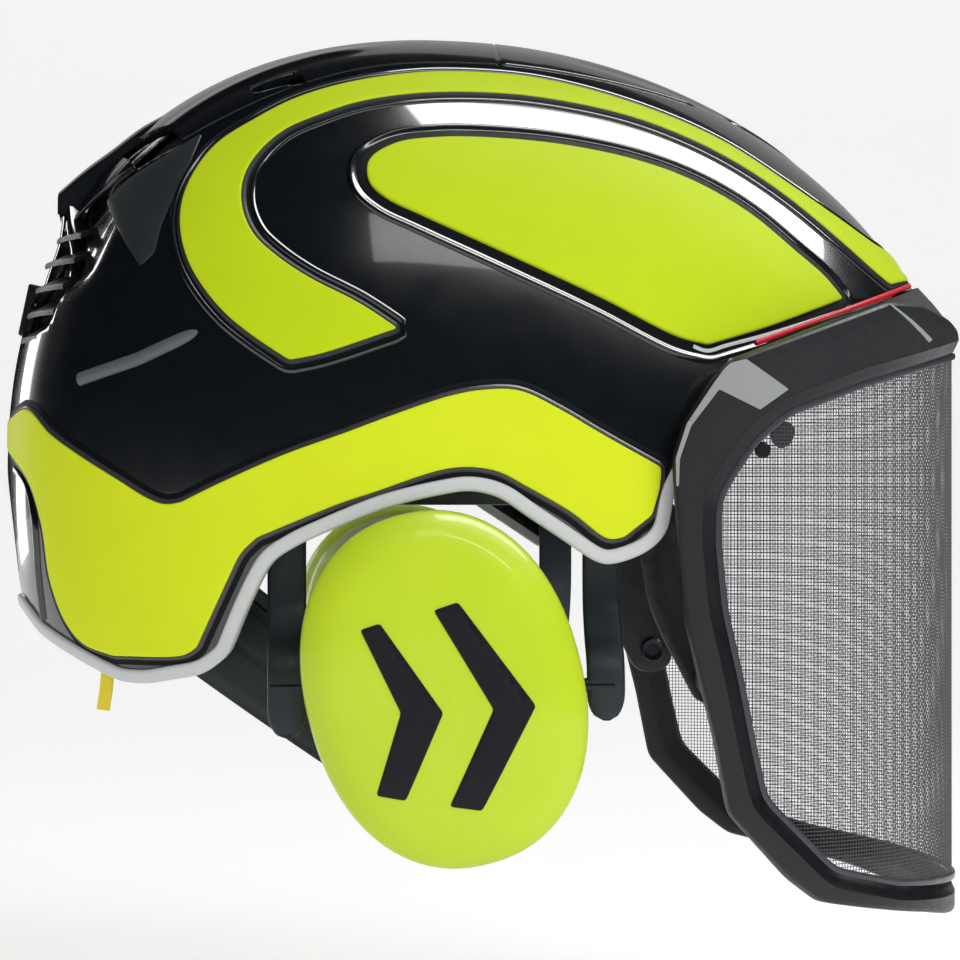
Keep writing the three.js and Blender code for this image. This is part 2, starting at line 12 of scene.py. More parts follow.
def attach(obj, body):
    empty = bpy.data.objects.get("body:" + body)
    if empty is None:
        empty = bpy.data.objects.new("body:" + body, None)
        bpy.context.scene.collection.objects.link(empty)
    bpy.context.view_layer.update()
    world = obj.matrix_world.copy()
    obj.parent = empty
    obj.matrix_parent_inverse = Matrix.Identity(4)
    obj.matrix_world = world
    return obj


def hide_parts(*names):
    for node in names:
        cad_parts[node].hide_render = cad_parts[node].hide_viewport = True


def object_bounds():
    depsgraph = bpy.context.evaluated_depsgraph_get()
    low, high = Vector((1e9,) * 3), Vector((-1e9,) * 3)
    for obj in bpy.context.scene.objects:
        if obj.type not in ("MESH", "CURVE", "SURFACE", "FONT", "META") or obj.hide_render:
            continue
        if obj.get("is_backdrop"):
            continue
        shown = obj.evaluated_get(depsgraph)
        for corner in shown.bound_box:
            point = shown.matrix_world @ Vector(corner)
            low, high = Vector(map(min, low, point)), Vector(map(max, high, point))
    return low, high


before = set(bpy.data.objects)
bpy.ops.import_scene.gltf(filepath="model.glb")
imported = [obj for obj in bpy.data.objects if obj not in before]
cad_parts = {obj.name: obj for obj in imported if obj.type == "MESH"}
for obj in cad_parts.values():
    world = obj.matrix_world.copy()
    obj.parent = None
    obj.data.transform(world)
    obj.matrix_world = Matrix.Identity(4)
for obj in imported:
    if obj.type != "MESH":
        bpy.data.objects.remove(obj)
cad_low, cad_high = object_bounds()
rng = np.random.default_rng(7)

# ---- The shell's surface ------------------------------------------------------------------------------
CX, FRONT, REAR, HALF, CROWN, SKIRT, PLAN = -4.0, 183.0, 148.0, 113.0, 151.0, 140.0, 2.25
CENTRE = np.array([CX, 0.0, 0.0])


def smooth(value, low, high):
    """Rises smoothly from 0 at low to 1 at high."""
    t = np.clip((value - low) / (high - low), 0, 1)
    return t * t * (3 - 2 * t)


def dome_power(x, y):
    """The power of the dome's curve, lower at the front than at the back."""
    share = np.arctan2(np.abs(y), x - CX) / np.pi
    return 1.93 + 0.37 * share * share * (3 - 2 * share)


def dome_level(p, h=0.0):
    """How many times too far out p is from the shell grown by h: 1 on it."""
    x, y, z = p[..., 0] - CX, p[..., 1], p[..., 2]
    n = dome_power(p[..., 0], y)
    along = np.where(x >= 0, FRONT, REAR) + h
    u = (np.abs(x / along) ** PLAN + np.abs(y / (HALF + h)) ** PLAN) ** (1 / PLAN)
    c = np.where(z >= 0, CROWN, SKIRT) + h
    return (u**n + np.abs(z / c) ** n) ** (1 / n)


def on_dome(p, h=0.0):
    """Points moved along their line from the centre to the shell grown by h."""
    p = np.asarray(p, float)
    return CENTRE + (p - CENTRE) / dome_level(p, h)[..., None]


def dome_normal(p, h=0.0):
    """The shell's outward direction at each point."""
    steps = np.eye(3) * 0.5
    g = np.stack([dome_level(p + s, h) - dome_level(p - s, h) for s in steps], -1)
    return g / np.linalg.norm(g, axis=-1, keepdims=True)


def from_side(points, h=0.0):
    """The right side's surface point at each [x, z]."""
    points = np.asarray(points, float)
    x, z = points[..., 0], points[..., 1]
    along = np.where(x >= CX, FRONT, REAR) + h
    c = np.where(z >= 0, CROWN, SKIRT) + h
    y = np.full_like(x, 60.0)
    for _ in range(20):
        n = dome_power(x, y)
        u = np.clip(1 - np.abs(z / c) ** n, 0, None) ** (1 / n)
        y = (HALF + h) * np.clip(u**PLAN - np.abs((x - CX) / along) ** PLAN, 1e-9, None) ** (1 / PLAN)
    return np.stack([x, -y, z], -1)


def from_top(points, h=0.0):
    """The crown's surface point at each [x, y]."""
    points = np.asarray(points, float)
    x, y = points[..., 0], points[..., 1]
    along = np.where(x >= CX, FRONT, REAR) + h
    u = (np.abs((x - CX) / along) ** PLAN + np.abs(y / (HALF + h)) ** PLAN) ** (1 / PLAN)
    n = dome_power(x, y)
    return np.stack([x, y, (CROWN + h) * np.clip(1 - u**n, 1e-9, None) ** (1 / n)], -1)


# ---- Curves -------------------------------------------------------------------------------------------
def spline(points, step=1.0, closed=False):
    """A smooth curve through the points, sampled about every step."""
    p = np.asarray(points, float)
    if closed:
        q = np.concatenate([p[-1:], p, p[:2]])
    else:
        q = np.concatenate([2 * p[:1] - p[1:2], p, 2 * p[-1:] - p[-2:-1]])
    out = []
    for i in range(len(q) - 3):
        a, b, c, d = q[i : i + 4]
        count = max(2, int(np.linalg.norm(c - b) / step))
        ta, tb, tc = (max(np.linalg.norm(v), 1e-6) ** 0.5 for v in (b - a, c - b, d - c))
        m1 = (b - a) / ta - (c - a) / (ta + tb) + (c - b) / tb
        m2 = (c - b) / tb - (d - b) / (tb + tc) + (d - c) / tc
        m1, m2 = m1 * tb, m2 * tb
        t = np.linspace(0, 1, count, endpoint=False)[:, None]
        out.append(
            (2 * t**3 - 3 * t**2 + 1) * b + (t**3 - 2 * t**2 + t) * m1 + (3 * t**2 - 2 * t**3) * c
            + (t**3 - t**2) * m2
        )
    if not closed:
        out.append(p[-1:])
    return np.concatenate(out)


def resample(p, step, closed=True):
    """Points spaced evenly along a polyline."""
    q = np.concatenate([p, p[:1]]) if closed else p
    s = np.concatenate([[0], np.cumsum(np.linalg.norm(np.diff(q, axis=0), axis=1))])
    count = max(4, int(round(s[-1] / step)))
    t = np.linspace(0, s[-1], count, endpoint=not closed)
    return np.stack([np.interp(t, s, q[:, k]) for k in range(q.shape[1])], -1)


def rounded(p, radius, closed=True):
    """Rounds a polyline's corners by averaging along it."""
    p = resample(p, radius / 3, closed)
    for _ in range(6):
        if closed:
            p = (np.roll(p, 1, 0) + 2 * p + np.roll(p, -1, 0)) / 4
        else:
            p[1:-1] = (p[:-2] + 2 * p[1:-1] + p[2:]) / 4
    return p


def runs(*parts, step=1.0):
    """An outline from runs of points: two points make a straight line, more a smooth curve."""
    out = []
    for part in parts:
        line = np.asarray(part, float)
        dense = spline(line, step) if len(line) > 2 else resample(line, step, closed=False)
        out.append(dense[:-1])
    return np.concatenate(out)


def edge_distance(points, line, closed=True):
    """Distance from each 2-D point to a polyline, positive inside it if it is closed."""
    points = np.asarray(points, float)
    a = line if closed else line[:-1]
    b = np.roll(line, -1, 0) if closed else line[1:]
    best = np.full(len(points), 1e9)
    inside = np.zeros(len(points), bool)
    for start in range(0, len(points), 4000):
        p = points[start : start + 4000, None, :]
        ab = (b - a)[None]
        t = np.clip(((p - a) * ab).sum(-1) / np.maximum((ab**2).sum(-1), 1e-12), 0, 1)
        best[start : start + 4000] = np.sqrt((((a + t[..., None] * ab) - p) ** 2).sum(-1)).min(1)
        if closed:
            over = (a[:, 1] > p[..., 1]) != (b[:, 1] > p[..., 1])
            rise = np.where(b[:, 1] == a[:, 1], 1e-12, b[:, 1] - a[:, 1])
            cross = p[..., 0] < a[:, 0] + (p[..., 1] - a[:, 1]) * (b[:, 0] - a[:, 0]) / rise
            inside[start : start + 4000] = (over & cross).sum(1) % 2 == 1
    return np.where(inside, best, -best) if closed else best


# ---- Materials ----------------------------------------------------------------------------------------
def srgb(r, g, b):
    """A colour given in 0 to 255 as linear light."""
    def channel(v):
        v /= 255
        return v / 12.92 if v <= 0.04045 else ((v + 0.055) / 1.055) ** 2.4

    return (channel(r), channel(g), channel(b), 1.0)


def material(name, color, roughness, coat=0.0, metallic=0.0, specular=0.5, sheen=0.0):
    made = bpy.data.materials.new(name)
    made.use_nodes = True
    shader = made.node_tree.nodes["Principled BSDF"]
    shader.inputs["Base Color"].default_value = color
    shader.inputs["Roughness"].default_value = roughness
    shader.inputs["Metallic"].default_value = metallic
    shader.inputs["Specular IOR Level"].default_value = specular
    shader.inputs["Coat Weight"].default_value = coat
    shader.inputs["Coat Roughness"].default_value = 0.05
    shader.inputs["Sheen Weight"].default_value = sheen
    return made


def node(made, kind, **settings):
    one = made.node_tree.nodes.new(kind)
    for key, value in settings.items():
        if key in one.inputs:
            one.inputs[key].default_value = value
        else:
            setattr(one, key, value)
    return one


def link(made, source, target):
    made.node_tree.links.new(source, target)


def noise(made, scale, detail=3.0, stretch=None):
    """A noise texture over the object's own coordinates."""
    where = node(made, "ShaderNodeTexCoord")
    texture = node(made, "ShaderNodeTexNoise", Scale=scale, Detail=detail)
    if stretch:
        squeeze = node(made, "ShaderNodeMapping")
        squeeze.inputs["Scale"].default_value = stretch
        link(made, where.outputs["Object"], squeeze.inputs["Vector"])
        link(made, squeeze.outputs["Vector"], texture.inputs["Vector"])
    else:
        link(made, where.outputs["Object"], texture.inputs["Vector"])
    return texture.outputs["Fac"]


def vary_roughness(made, scale, low, high, detail=4.0):
    remap = node(made, "ShaderNodeMapRange")
    remap.inputs["From Min"].default_value = 0.3
    remap.inputs["From Max"].default_value = 0.7
    remap.inputs["To Min"].default_value = low
    remap.inputs["To Max"].default_value = high
    link(made, noise(made, scale, detail), remap.inputs["Value"])
    link(made, remap.outputs["Result"], made.node_tree.nodes["Principled BSDF"].inputs["Roughness"])


def vary_color(made, scale, dark, light, detail=4.0):
    blend = node(made, "ShaderNodeMix", data_type="RGBA")
    blend.inputs["A"].default_value = dark
    blend.inputs["B"].default_value = light
    link(made, noise(made, scale, detail), blend.inputs["Factor"])
    link(made, blend.outputs["Result"], made.node_tree.nodes["Principled BSDF"].inputs["Base Color"])


def bump(made, height, distance, strength=1.0):
    """Adds bump to the material, on top of any it has."""
    shader = made.node_tree.nodes["Principled BSDF"]
    one = node(made, "ShaderNodeBump", Strength=strength, Distance=distance)
    link(made, height, one.inputs["Height"])
    earlier = shader.inputs["Normal"].links
    if earlier:
        link(made, earlier[0].from_socket, one.inputs["Normal"])
    link(made, one.outputs["Normal"], shader.inputs["Normal"])


def weave(made, pitch, distance, turn=0.0):
    """Crossed threads at that pitch, in millimetres."""
    where = node(made, "ShaderNodeTexCoord")
    turned = node(made, "ShaderNodeMapping")
    turned.inputs["Rotation"].default_value = (turn, 0, turn)
    link(made, where.outputs["Object"], turned.inputs["Vector"])
    total = None
    for direction in ("X", "Z", "Y"):
        wave = node(made, "ShaderNodeTexWave", Scale=1000 / pitch / 6.28, Distortion=0.4)
        wave.bands_direction = direction
        link(made, turned.outputs["Vector"], wave.inputs["Vector"])
        if total is None:
            total = wave.outputs["Fac"]
        else:
            add = node(made, "ShaderNodeMath", operation="MULTIPLY_ADD")
            add.inputs[1].default_value = 0.5
            link(made, wave.outputs["Fac"], add.inputs[0])
            link(made, total, add.inputs[2])
            total = add.outputs["Value"]
    bump(made, total, distance)


def finish(name, color, roughness, tint=None, rough=None, grain=None, **settings):
    """A finished material: tint is (scale, dark, light), rough (scale, low, high) and grain (scale, detail,
    depth)."""
    made = material(name, srgb(*color), roughness, **settings)
    if tint:
        vary_color(made, tint[0], srgb(*tint[1]), srgb(*tint[2]))
    if rough:
        vary_roughness(made, *rough)
    if grain:
        bump(made, noise(made, *grain[:2]), *grain[2:])
    return made


GLOSS = finish("gloss_black", (15, 19, 23), 0.2, rough=(90, 0.18, 0.24), grain=(420, 1, 0.000004, 0.6),
    coat=1.0)
LIME = finish("lime_panel", (190, 213, 28), 0.5, tint=(60, (186, 210, 25), (194, 216, 32)),
    rough=(240, 0.42, 0.5), grain=(900, 2, 0.00002, 0.6), specular=0.06)
LIME_LOW = finish("lime_lower_panel", (212, 227, 38), 0.5, tint=(60, (209, 224, 35), (216, 230, 42)),
    rough=(240, 0.42, 0.5), grain=(900, 2, 0.00002, 0.6), specular=0.06)
CUP = finish("lime_cup", (190, 215, 30), 0.4, tint=(50, (185, 211, 26), (195, 219, 36)),
    rough=(260, 0.36, 0.46), grain=(1000, 2, 0.00003, 0.6), coat=0.3, specular=0.35)
TRIM = finish("grey_trim", (200, 202, 203), 0.5, rough=(300, 0.42, 0.58), grain=(1400, 3, 0.00004))
BEZEL = finish("bezel", (54, 54, 63), 0.34, rough=(300, 0.3, 0.42), coat=0.2)
GROOVE = finish("groove", (6, 8, 13), 0.6, rough=(300, 0.55, 0.65), specular=0.2)
# Pale grey painted highlight, laid on the visor's upper corner and along its top crease.
HIGHLIGHT_PAINT = finish("facet_painted_highlight", (146, 148, 148), 0.45, rough=(500, 0.4, 0.5), specular=0.3)
# Dim grey painted reflection, on the shoulder flats and the upper stripe's lip.
SHOULDER = finish("shoulder", (42, 46, 49), 0.4, rough=(400, 0.36, 0.46), specular=0.3)
# Mid grey painted highlight on the round bar below each shoulder flat.
BAR_HIGHLIGHT_PAINT = finish("round_bar_painted_highlight", (88, 92, 96), 0.4, rough=(400, 0.36, 0.46), specular=0.4)
SATIN = finish("satin_black", (31, 34, 37), 0.42, tint=(40, (28, 31, 34), (34, 37, 40)),
    rough=(500, 0.36, 0.5), grain=(2600, 3, 0.00004), specular=0.4)
DARK = finish("dark_plastic", (14, 16, 19), 0.4, rough=(500, 0.32, 0.46), grain=(2600, 3, 0.00004),
    specular=0.35)
RUBBER = finish("black_rubber", (22, 23, 26), 0.66, rough=(700, 0.58, 0.74), grain=(3000, 4, 0.00006),
    specular=0.35)
RED = finish("red_seal", (214, 14, 34), 0.5, rough=(500, 0.36, 0.48), specular=0.3)
WIRE = finish("mesh_wire", (92, 93, 96), 0.6, rough=(900, 0.55, 0.66), specular=0.3)
STEEL = finish("steel", (52, 54, 58), 0.34, rough=(800, 0.24, 0.4), metallic=0.9)
LINER = finish("liner_foam", (40, 42, 45), 0.85, specular=0.25)
FOAM = finish("open_foam", (52, 54, 56), 0.95, specular=0.2)
WEBBING = finish("webbing", (34, 37, 40), 0.85, specular=0.25, sheen=0.2)
weave(WEBBING, 1.1, 0.00012)
PADDING = finish("padding", (52, 56, 58), 0.9, specular=0.25, sheen=0.25)
weave(PADDING, 0.9, 0.0001, 0.78)
NAPE = finish("nape_skin", (44, 49, 50), 0.55, rough=(600, 0.48, 0.64), specular=0.35)
YELLOW = finish("yellow_webbing", (243, 222, 60), 0.8, sheen=0.2)
weave(YELLOW, 0.9, 0.00012)


def beads(made, size, distance):
    """The knobbly skin of expanded foam beads."""
    where = node(made, "ShaderNodeTexCoord")
    cells = node(made, "ShaderNodeTexVoronoi", Scale=1000 / size)
    cells.feature = "SMOOTH_F1"
    link(made, where.outputs["Object"], cells.inputs["Vector"])
    flip = node(made, "ShaderNodeMath", operation="SUBTRACT")
    flip.inputs[0].default_value = 1.0
    link(made, cells.outputs["Distance"], flip.inputs[1])
    bump(made, flip.outputs["Value"], distance)


beads(LINER, 4.0, 0.0006)
beads(FOAM, 1.2, 0.0004)


# ---- Meshes -------------------------------------------------------------------------------------------
def raw_mesh(name, verts, faces):
    """A mesh from vertices in millimetres."""
    mesh = bpy.data.meshes.new(name)
    mesh.from_pydata((np.asarray(verts, float) / 1000).tolist(), [],
        [tuple(int(i) for i in f) for f in faces])
    return mesh


def piece(name, verts, faces, skin, stands_for=(), body="shell", slot=None, angle=35):
    """A mesh object in place on its body. verts are in millimetres."""
    mesh = raw_mesh(name, verts, faces)
    work = bmesh.new()
    work.from_mesh(mesh)
    bmesh.ops.remove_doubles(work, verts=work.verts, dist=1e-6)
    bmesh.ops.recalc_face_normals(work, faces=work.faces)
    work.to_mesh(mesh)
    work.free()
    mesh.shade_smooth()
    mesh.set_sharp_from_angle(angle=math.radians(angle))
    obj = bpy.data.objects.new(name, mesh)
    bpy.context.scene.collection.objects.link(obj)
    obj.data.materials.append(skin)
    if stands_for:
        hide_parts(*([stands_for] if isinstance(stands_for, str) else stands_for))
    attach(obj, body)
    return obj


def pair(name, verts, faces, skin, stands_for=(), body="shell", slot=None, angle=35):
    """A right-hand piece and its mirror image. Names in stands_for and body lack the side."""
    made = []
    for side, flip in (("right", 1), ("left", -1)):
        v = np.asarray(verts, float) * [1, flip, 1]
        named = [f"{n}_{side}" for n in ([stands_for] if isinstance(stands_for, str) else stands_for)]
        where = body if body in ("shell", "visor", "dial") else f"{body} {side}"
        made.append(piece(f"{name}_{side}", v, faces, skin, named, where, slot, angle))
    return made


def grid_faces(rows, columns, close_columns=False, close_rows=False, start=0):
    """Quads over a rows by columns block of vertices."""
    out = []
    for i in range(rows if close_rows else rows - 1):
        for j in range(columns if close_columns else columns - 1):
            a = start + i * columns + j
            b = start + i * columns + (j + 1) % columns
            c = start + ((i + 1) % rows) * columns + (j + 1) % columns
            d = start + ((i + 1) % rows) * columns + j
            out.append((a, b, c, d))
    return out


def end_caps(total, count):
    """The two end faces of a sweep of total vertices in rows of count."""
    return [tuple(range(count))[::-1], tuple(range(total - count, total))]


def slab_faces(rows, columns):
    """Faces of a solid between two sheets of rows by columns vertices."""
    second = rows * columns
    out = grid_faces(rows, columns) + [q[::-1] for q in grid_faces(rows, columns, start=second)]
    rims = [(i * columns + j, i * columns + j + 1) for j in range(columns - 1) for i in (0, rows - 1)]
    rims += [(i * columns + j, (i + 1) * columns + j) for i in range(rows - 1) for j in (0, columns - 1)]
    return out + [(a, b, b + second, a + second) for a, b in rims]


def stacked(rows, first=True, last=True):
    """A skin over rings of vertices stacked one after another, with either end closed."""
    verts = np.concatenate(rows)
    count = len(rows[0])
    faces = grid_faces(len(rows), count, close_columns=True)
    if first:
        faces.append(tuple(range(count)))
    if last:
        faces.append(tuple(range(len(verts) - count, len(verts)))[::-1])
    return verts, faces


def round_section(radius, sides):
    """A thread's round section."""
    return [(radius * math.cos(a), radius * math.sin(a)) for a in np.linspace(0, 6.28, sides + 1)[:-1]]


def add_wall(obj, thickness, offset=-1):
    """Thickens a skin, in metres."""
    wall = obj.modifiers.new("wall", "SOLIDIFY")
    wall.thickness, wall.offset = thickness, offset


def add_edge(obj, width, degrees):
    """Rounds the edges that are sharper than an angle."""
    edge = obj.modifiers.new("edge", "BEVEL")
    edge.width, edge.segments = width, 2
    edge.limit_method, edge.angle_limit = "ANGLE", math.radians(degrees)


def lattice(flat, spacing):
    """A triangular grid of 2-D points over the box round an outline."""
    low, high = flat.min(0), flat.max(0)
    xs = np.arange(low[0], high[0], spacing)
    ys = np.arange(low[1], high[1], spacing * 0.87)
    return np.array([(x + (spacing / 2 if j % 2 else 0), y) for j, y in enumerate(ys) for x in xs])


def frames(line, closed=True):
    """Unit tangents along a polyline."""
    if closed:
        t = np.roll(line, -1, 0) - np.roll(line, 1, 0)
    else:
        t = np.gradient(line, axis=0)
    return t / np.linalg.norm(t, axis=1, keepdims=True)


def across(line, closed=True, inward=True):
    """Unit vectors in the shell's surface, square to a line on it, pointing into the outline."""
    b = np.cross(dome_normal(line), frames(line, closed))
    b /= np.linalg.norm(b, axis=1, keepdims=True)
    return b if inward else -b


def turned_in(line):
    """The line's direction such that across() points into it, seen from outside the shell."""
    centre = line.mean(0)
    b = across(line)
    t = np.linalg.norm(np.roll(line, -1, 0) - line, axis=1)
    flux = (((line - centre) * b).sum(1) * t).sum()
    return line if flux < 0 else line[::-1]


def ribbon(line, profile, closed=True, ring=False):
    """Sweeps a profile of (inward distance, height) along a line on the shell. ring closes the profile."""
    b = across(line, closed)
    rows = []
    for d, h in profile:
        q = on_dome(line + b * d)
        rows.append(q + dome_normal(q) * h)
    verts = np.concatenate(rows)
    return verts, grid_faces(len(profile), len(line), close_columns=closed, close_rows=ring)


def fill(ring_points, flat, lift, spacing):
    """Triangles inside a closed ring. flat gives the ring in 2-D, lift places inner 2-D points."""
    inner = lattice(flat, spacing)
    if len(inner):
        inner = inner[edge_distance(inner, flat) > spacing * 0.6]
    count = len(flat)
    points = [Vector(p) for p in flat] + [Vector(p) for p in inner]
    edges = [(i, (i + 1) % count) for i in range(count)]
    out, _, faces, origin, _, _ = delaunay_2d_cdt(points, edges, [list(range(count))], 1, 1e-5)
    verts = np.zeros((len(out), 3))
    loose = []
    for i, source in enumerate(origin):
        first = min(source) if source else -1
        if 0 <= first < count:
            verts[i] = ring_points[first]
        else:
            loose.append(i)
    if loose:
        verts[loose] = lift(np.array([(out[i].x, out[i].y) for i in loose]))
    return verts, [tuple(f) for f in faces]


def patch(outline, profile, view="side", spacing=3.0, crown=0.0):
    """A raised panel on the shell: profile runs inward from its foot, and its last height carries on over
    the middle. crown lifts the middle a little more."""
    line = turned_in(outline)
    verts, faces = ribbon(line, profile)
    d, h = profile[-1]
    base = on_dome(line + across(line) * d)
    pick = [0, 2] if view == "side" else [0, 1]
    flat = base[:, pick]

    def lift(points):
        q = from_side(points) if view == "side" else from_top(points)
        rise = h + crown * smooth(edge_distance(points, flat), 0, 14)
        return q + dome_normal(q) * rise[:, None]

    inner, inner_faces = fill(verts[-len(line) :], flat, lift, spacing)
    start = len(verts)
    faces += [tuple(i + start for i in f) for f in inner_faces]
    return np.concatenate([verts, inner]), faces


def clip(verts, tris, value):
    """The part of a triangle mesh where value is at least 0, cut along the line where it is 0."""
    verts = [tuple(v) for v in verts]
    keep = value >= 0
    made = {}

    def crossing(i, j):
        key = (min(i, j), max(i, j))
        if key not in made:
            a, b = np.array(verts[key[0]]), np.array(verts[key[1]])
            t = value[key[0]] / (value[key[0]] - value[key[1]])
            made[key] = len(verts)
            verts.append(tuple(a + (b - a) * t))
        return made[key]

    out = []
    for tri in tris:
        inside = [keep[i] for i in tri]
        if all(inside):
            out.append(tuple(tri))
            continue
        if not any(inside):
            continue
        loop = []
        for k in range(3):
            i, j = tri[k], tri[(k + 1) % 3]
            if keep[i]:
                loop.append(i)
            if keep[i] != keep[j]:
                loop.append(crossing(i, j))
        out.append((loop[0], loop[1], loop[2]))
        if len(loop) == 4:
            out.append((loop[0], loop[2], loop[3]))
    used = sorted({i for t in out for i in t})
    index = {old: new for new, old in enumerate(used)}
    return np.array([verts[i] for i in used]), [tuple(index[i] for i in t) for t in out]


def superellipse(x, y, half_x, half_y, power, count, start=0.0):
    """A closed rounded outline about a centre."""
    angle = np.linspace(0, 2 * np.pi, count, endpoint=False) + start
    c, s = np.cos(angle), np.sin(angle)
    reach = (np.abs(c / half_x) ** power + np.abs(s / half_y) ** power) ** (-1 / power)
    return np.stack([x + reach * c, y + reach * s], -1)


# ---- Outlines, in side view ---------------------------------------------------------------------------
RIM = runs(
    [(-175, -37.5), (-149, -39.5), (-140.7, -46.8), (-138.1, -50), (-123.5, -58.6), (-109.8, -65)],
    [(-109.8, -65), (-101, -65.2), (-93, -63.6), (-83.1, -61.4), (-75.2, -55.6)],
    [(-75.2, -55.6), (-69.4, -41.2), (-63.8, -29.5), (-61.2, -25.6), (-53.4, -20.5), (-44.6, -16.4),
     (-26.2, -9), (-8.5, -4.6), (0.4, -3.4), (9.3, -5.4), (18.2, -11.3), (28.7, -18.2), (38.5, -24.9)],
    [(38.5, -24.9), (42.9, -26.6), (48.3, -25.8), (57.2, -22.1), (62.6, -16.5), (65, -5)],
    [(65, -5), (91, 42)],
    [(91, 42), (200, 81.2)],
)
RIM = rounded(RIM, 3.0, closed=False)
STRIPE = runs(
    [
        (156.6, 68.6), (153.6, 72.8), (149, 76.6), (141, 79), (127, 87), (108, 99), (90, 110.5), (72, 119),
        (47, 127.5), (25, 132.5), (5, 134), (-13, 133.5), (-37, 129.5), (-54, 124), (-67, 117), (-79, 109),
        (-86, 100), (-90, 90), (-90.5, 80), (-88, 70), (-83, 61), (-76, 52.5), (-67, 45), (-56, 37.5),
    ],
    [(-56, 37.5), (-46, 39.5), (-22, 47.5)],
    [
        (-22, 47.5), (-34, 55.5), (-50, 64), (-60, 71), (-67, 78), (-70.5, 86), (-71, 93), (-69.5, 99),
        (-65, 106), (-57, 113), (-46, 118), (-33, 122.5), (-13, 125.7), (11, 126.2), (29, 124.6), (53, 120),
        (71, 114), (89, 105.5), (107, 94), (126, 79), (139, 68.5), (144.1, 65),
    ],
    [(144.1, 65), (158, 68.6)],
)
TEARDROP = runs(
    [
        (77, 43), (67, 45.5), (43, 57.5), (14, 71), (-14, 84), (-25, 89.5), (-30.5, 95), (-30.5, 102),
        (-22, 107.8), (-8, 110), (10, 110), (33, 108), (57, 103.3), (75, 97), (93, 87), (109, 74),
        (118, 66.5), (124.5, 59),
    ],
    [(124.5, 59), (97, 49), (77, 43)],
)
LOWER = runs(
    [(-149.2, 19.8), (-142, 23.5), (-133, 15), (-123, 8), (-110, 0), (-100, -6), (-95, -7.6), (-90, -7)],
    [(-90, -7), (-80, -2), (-67, 4), (-55, 9), (-40, 14.3), (-22, 21), (-6, 26.3), (5, 28.3), (16, 28),
     (29, 22), (41, 15), (61, 4)],
    [(61, 4), (60.5, -2), (58, -11)],
    [(58, -11), (49, -18)],
    [(49, -18), (44, -18.5), (32, -10), (18, -2), (9, 2.6), (0, 4), (-9, 3), (-30, -4), (-40, -7.3),
     (-66, -18)],
    [(-66, -18), (-71, -23), (-75, -31), (-85, -53)],
    [(-85, -53), (-89, -55.5), (-112, -56.5)],
    [(-112, -56.5), (-122, -53), (-128, -46), (-133, -33), (-136, -14), (-141, 0), (-149.2, 10)],
    [(-149.2, 10), (-149.2, 19.8)],
)
DIAL_AXIS = np.array([math.cos(math.radians(10)), 0, math.sin(math.radians(10))])
DIAL_FACE = np.array([-147.0, 0, -24.0])
WINDOWS = [
    np.array([(-117, -13), (-106, -50), (-90, -57), (-97, -38)], float),
    np.array([(-70, -46), (-67, -52), (-50, -55), (-53, -45)], float),
]
BACK_WINDOW = np.array([(-15, 42), (-50, 50), (-54, 70), (-38, 88), (-15, 84)], float)


def rim_depth(p):
    """How far inside the rim each point of the shell is, seen from the side."""
    flat = p[:, [0, 2]]
    closed = np.concatenate([RIM, [(260, 260), (-260, 260), (-260, -38)]])
    return edge_distance(flat, closed)


# ---- Outer shell --------------------------------------------------------------------------------------
def dome_grid(around, up, lowest=-70.0):
    """Triangles over the whole dome."""
    levels = [CROWN * math.cos(math.pi / 2 * i / up) for i in range(1, up + 1)]
    below = [lowest * i / 24 for i in range(1, 25)]
    angle = np.linspace(0, 2 * np.pi, around, endpoint=False)
    rows = []
    for z in levels + below:
        plan = (np.abs(np.cos(angle) / np.where(np.cos(angle) >= 0, FRONT, REAR)) ** PLAN
            + np.abs(np.sin(angle) / HALF) ** PLAN) ** (-1 / PLAN)
        share = np.abs(np.arctan2(np.sin(angle), np.cos(angle))) / np.pi
        n = 1.93 + 0.37 * share * share * (3 - 2 * share)
        c = CROWN if z >= 0 else SKIRT
        reach = plan * (1 - abs(z / c) ** n) ** (1 / n)
        rows.append(np.stack([CX + reach * np.cos(angle), reach * np.sin(angle), np.full(around, z)], -1))
    verts = np.concatenate([np.array([[CX, 0, CROWN]])] + rows)
    tris = [(0, 1 + j, 1 + (j + 1) % around) for j in range(around)]
    for a, b, c, d in grid_faces(len(rows), around, close_columns=True, start=1):
        tris += [(a, b, c), (a, c, d)]
    return verts, tris


def from_dial(p):
    """Each point's distance from the dial's axis."""
    away = p - DIAL_FACE
    return np.linalg.norm(away - (away @ DIAL_AXIS)[:, None] * DIAL_AXIS, axis=1)


def shell_relief(p):
    """How far the shell's moulding stands in or out of its plain form."""
    x, y, z = p[:, 0], np.abs(p[:, 1]), p[:, 2]
    back = smooth(-x, 96, 126) * smooth(z, 58, 72) * (1 - smooth(z, 92, 100)) * (1 - smooth(y, 52, 66))
    return -4.0 * back


verts, tris = dome_grid(360, 96)
hidden = np.where((verts[:, 0] > 88) & (verts[:, 2] > 34), 1.5, 3.2)
verts, tris = clip(verts, tris, rim_depth(verts) - hidden)
for window in WINDOWS:
    for flip in (1, -1):
        reach = -edge_distance(verts[:, :2] * [1, flip], rounded(window, 2.0))
        verts, tris = clip(verts, tris, np.where(verts[:, 2] > 60, reach, 50.0))
for flip in (1, -1):
    reach = -edge_distance(verts[:, 1:] * [flip, 1], rounded(BACK_WINDOW, 2.0))
    verts, tris = clip(verts, tris, np.where(verts[:, 0] < -60, reach, 50.0))
verts, tris = clip(verts, tris, np.where(verts[:, 0] < -60, from_dial(verts) - 31.2, 50.0))
verts = verts + dome_normal(verts) * shell_relief(verts)[:, None]
shell = piece("shell_skin", verts, tris, GLOSS, "outer_shell", "shell", "gloss_black", angle=50)
add_wall(shell, 0.003)
add_edge(shell, 0.0004, 50)

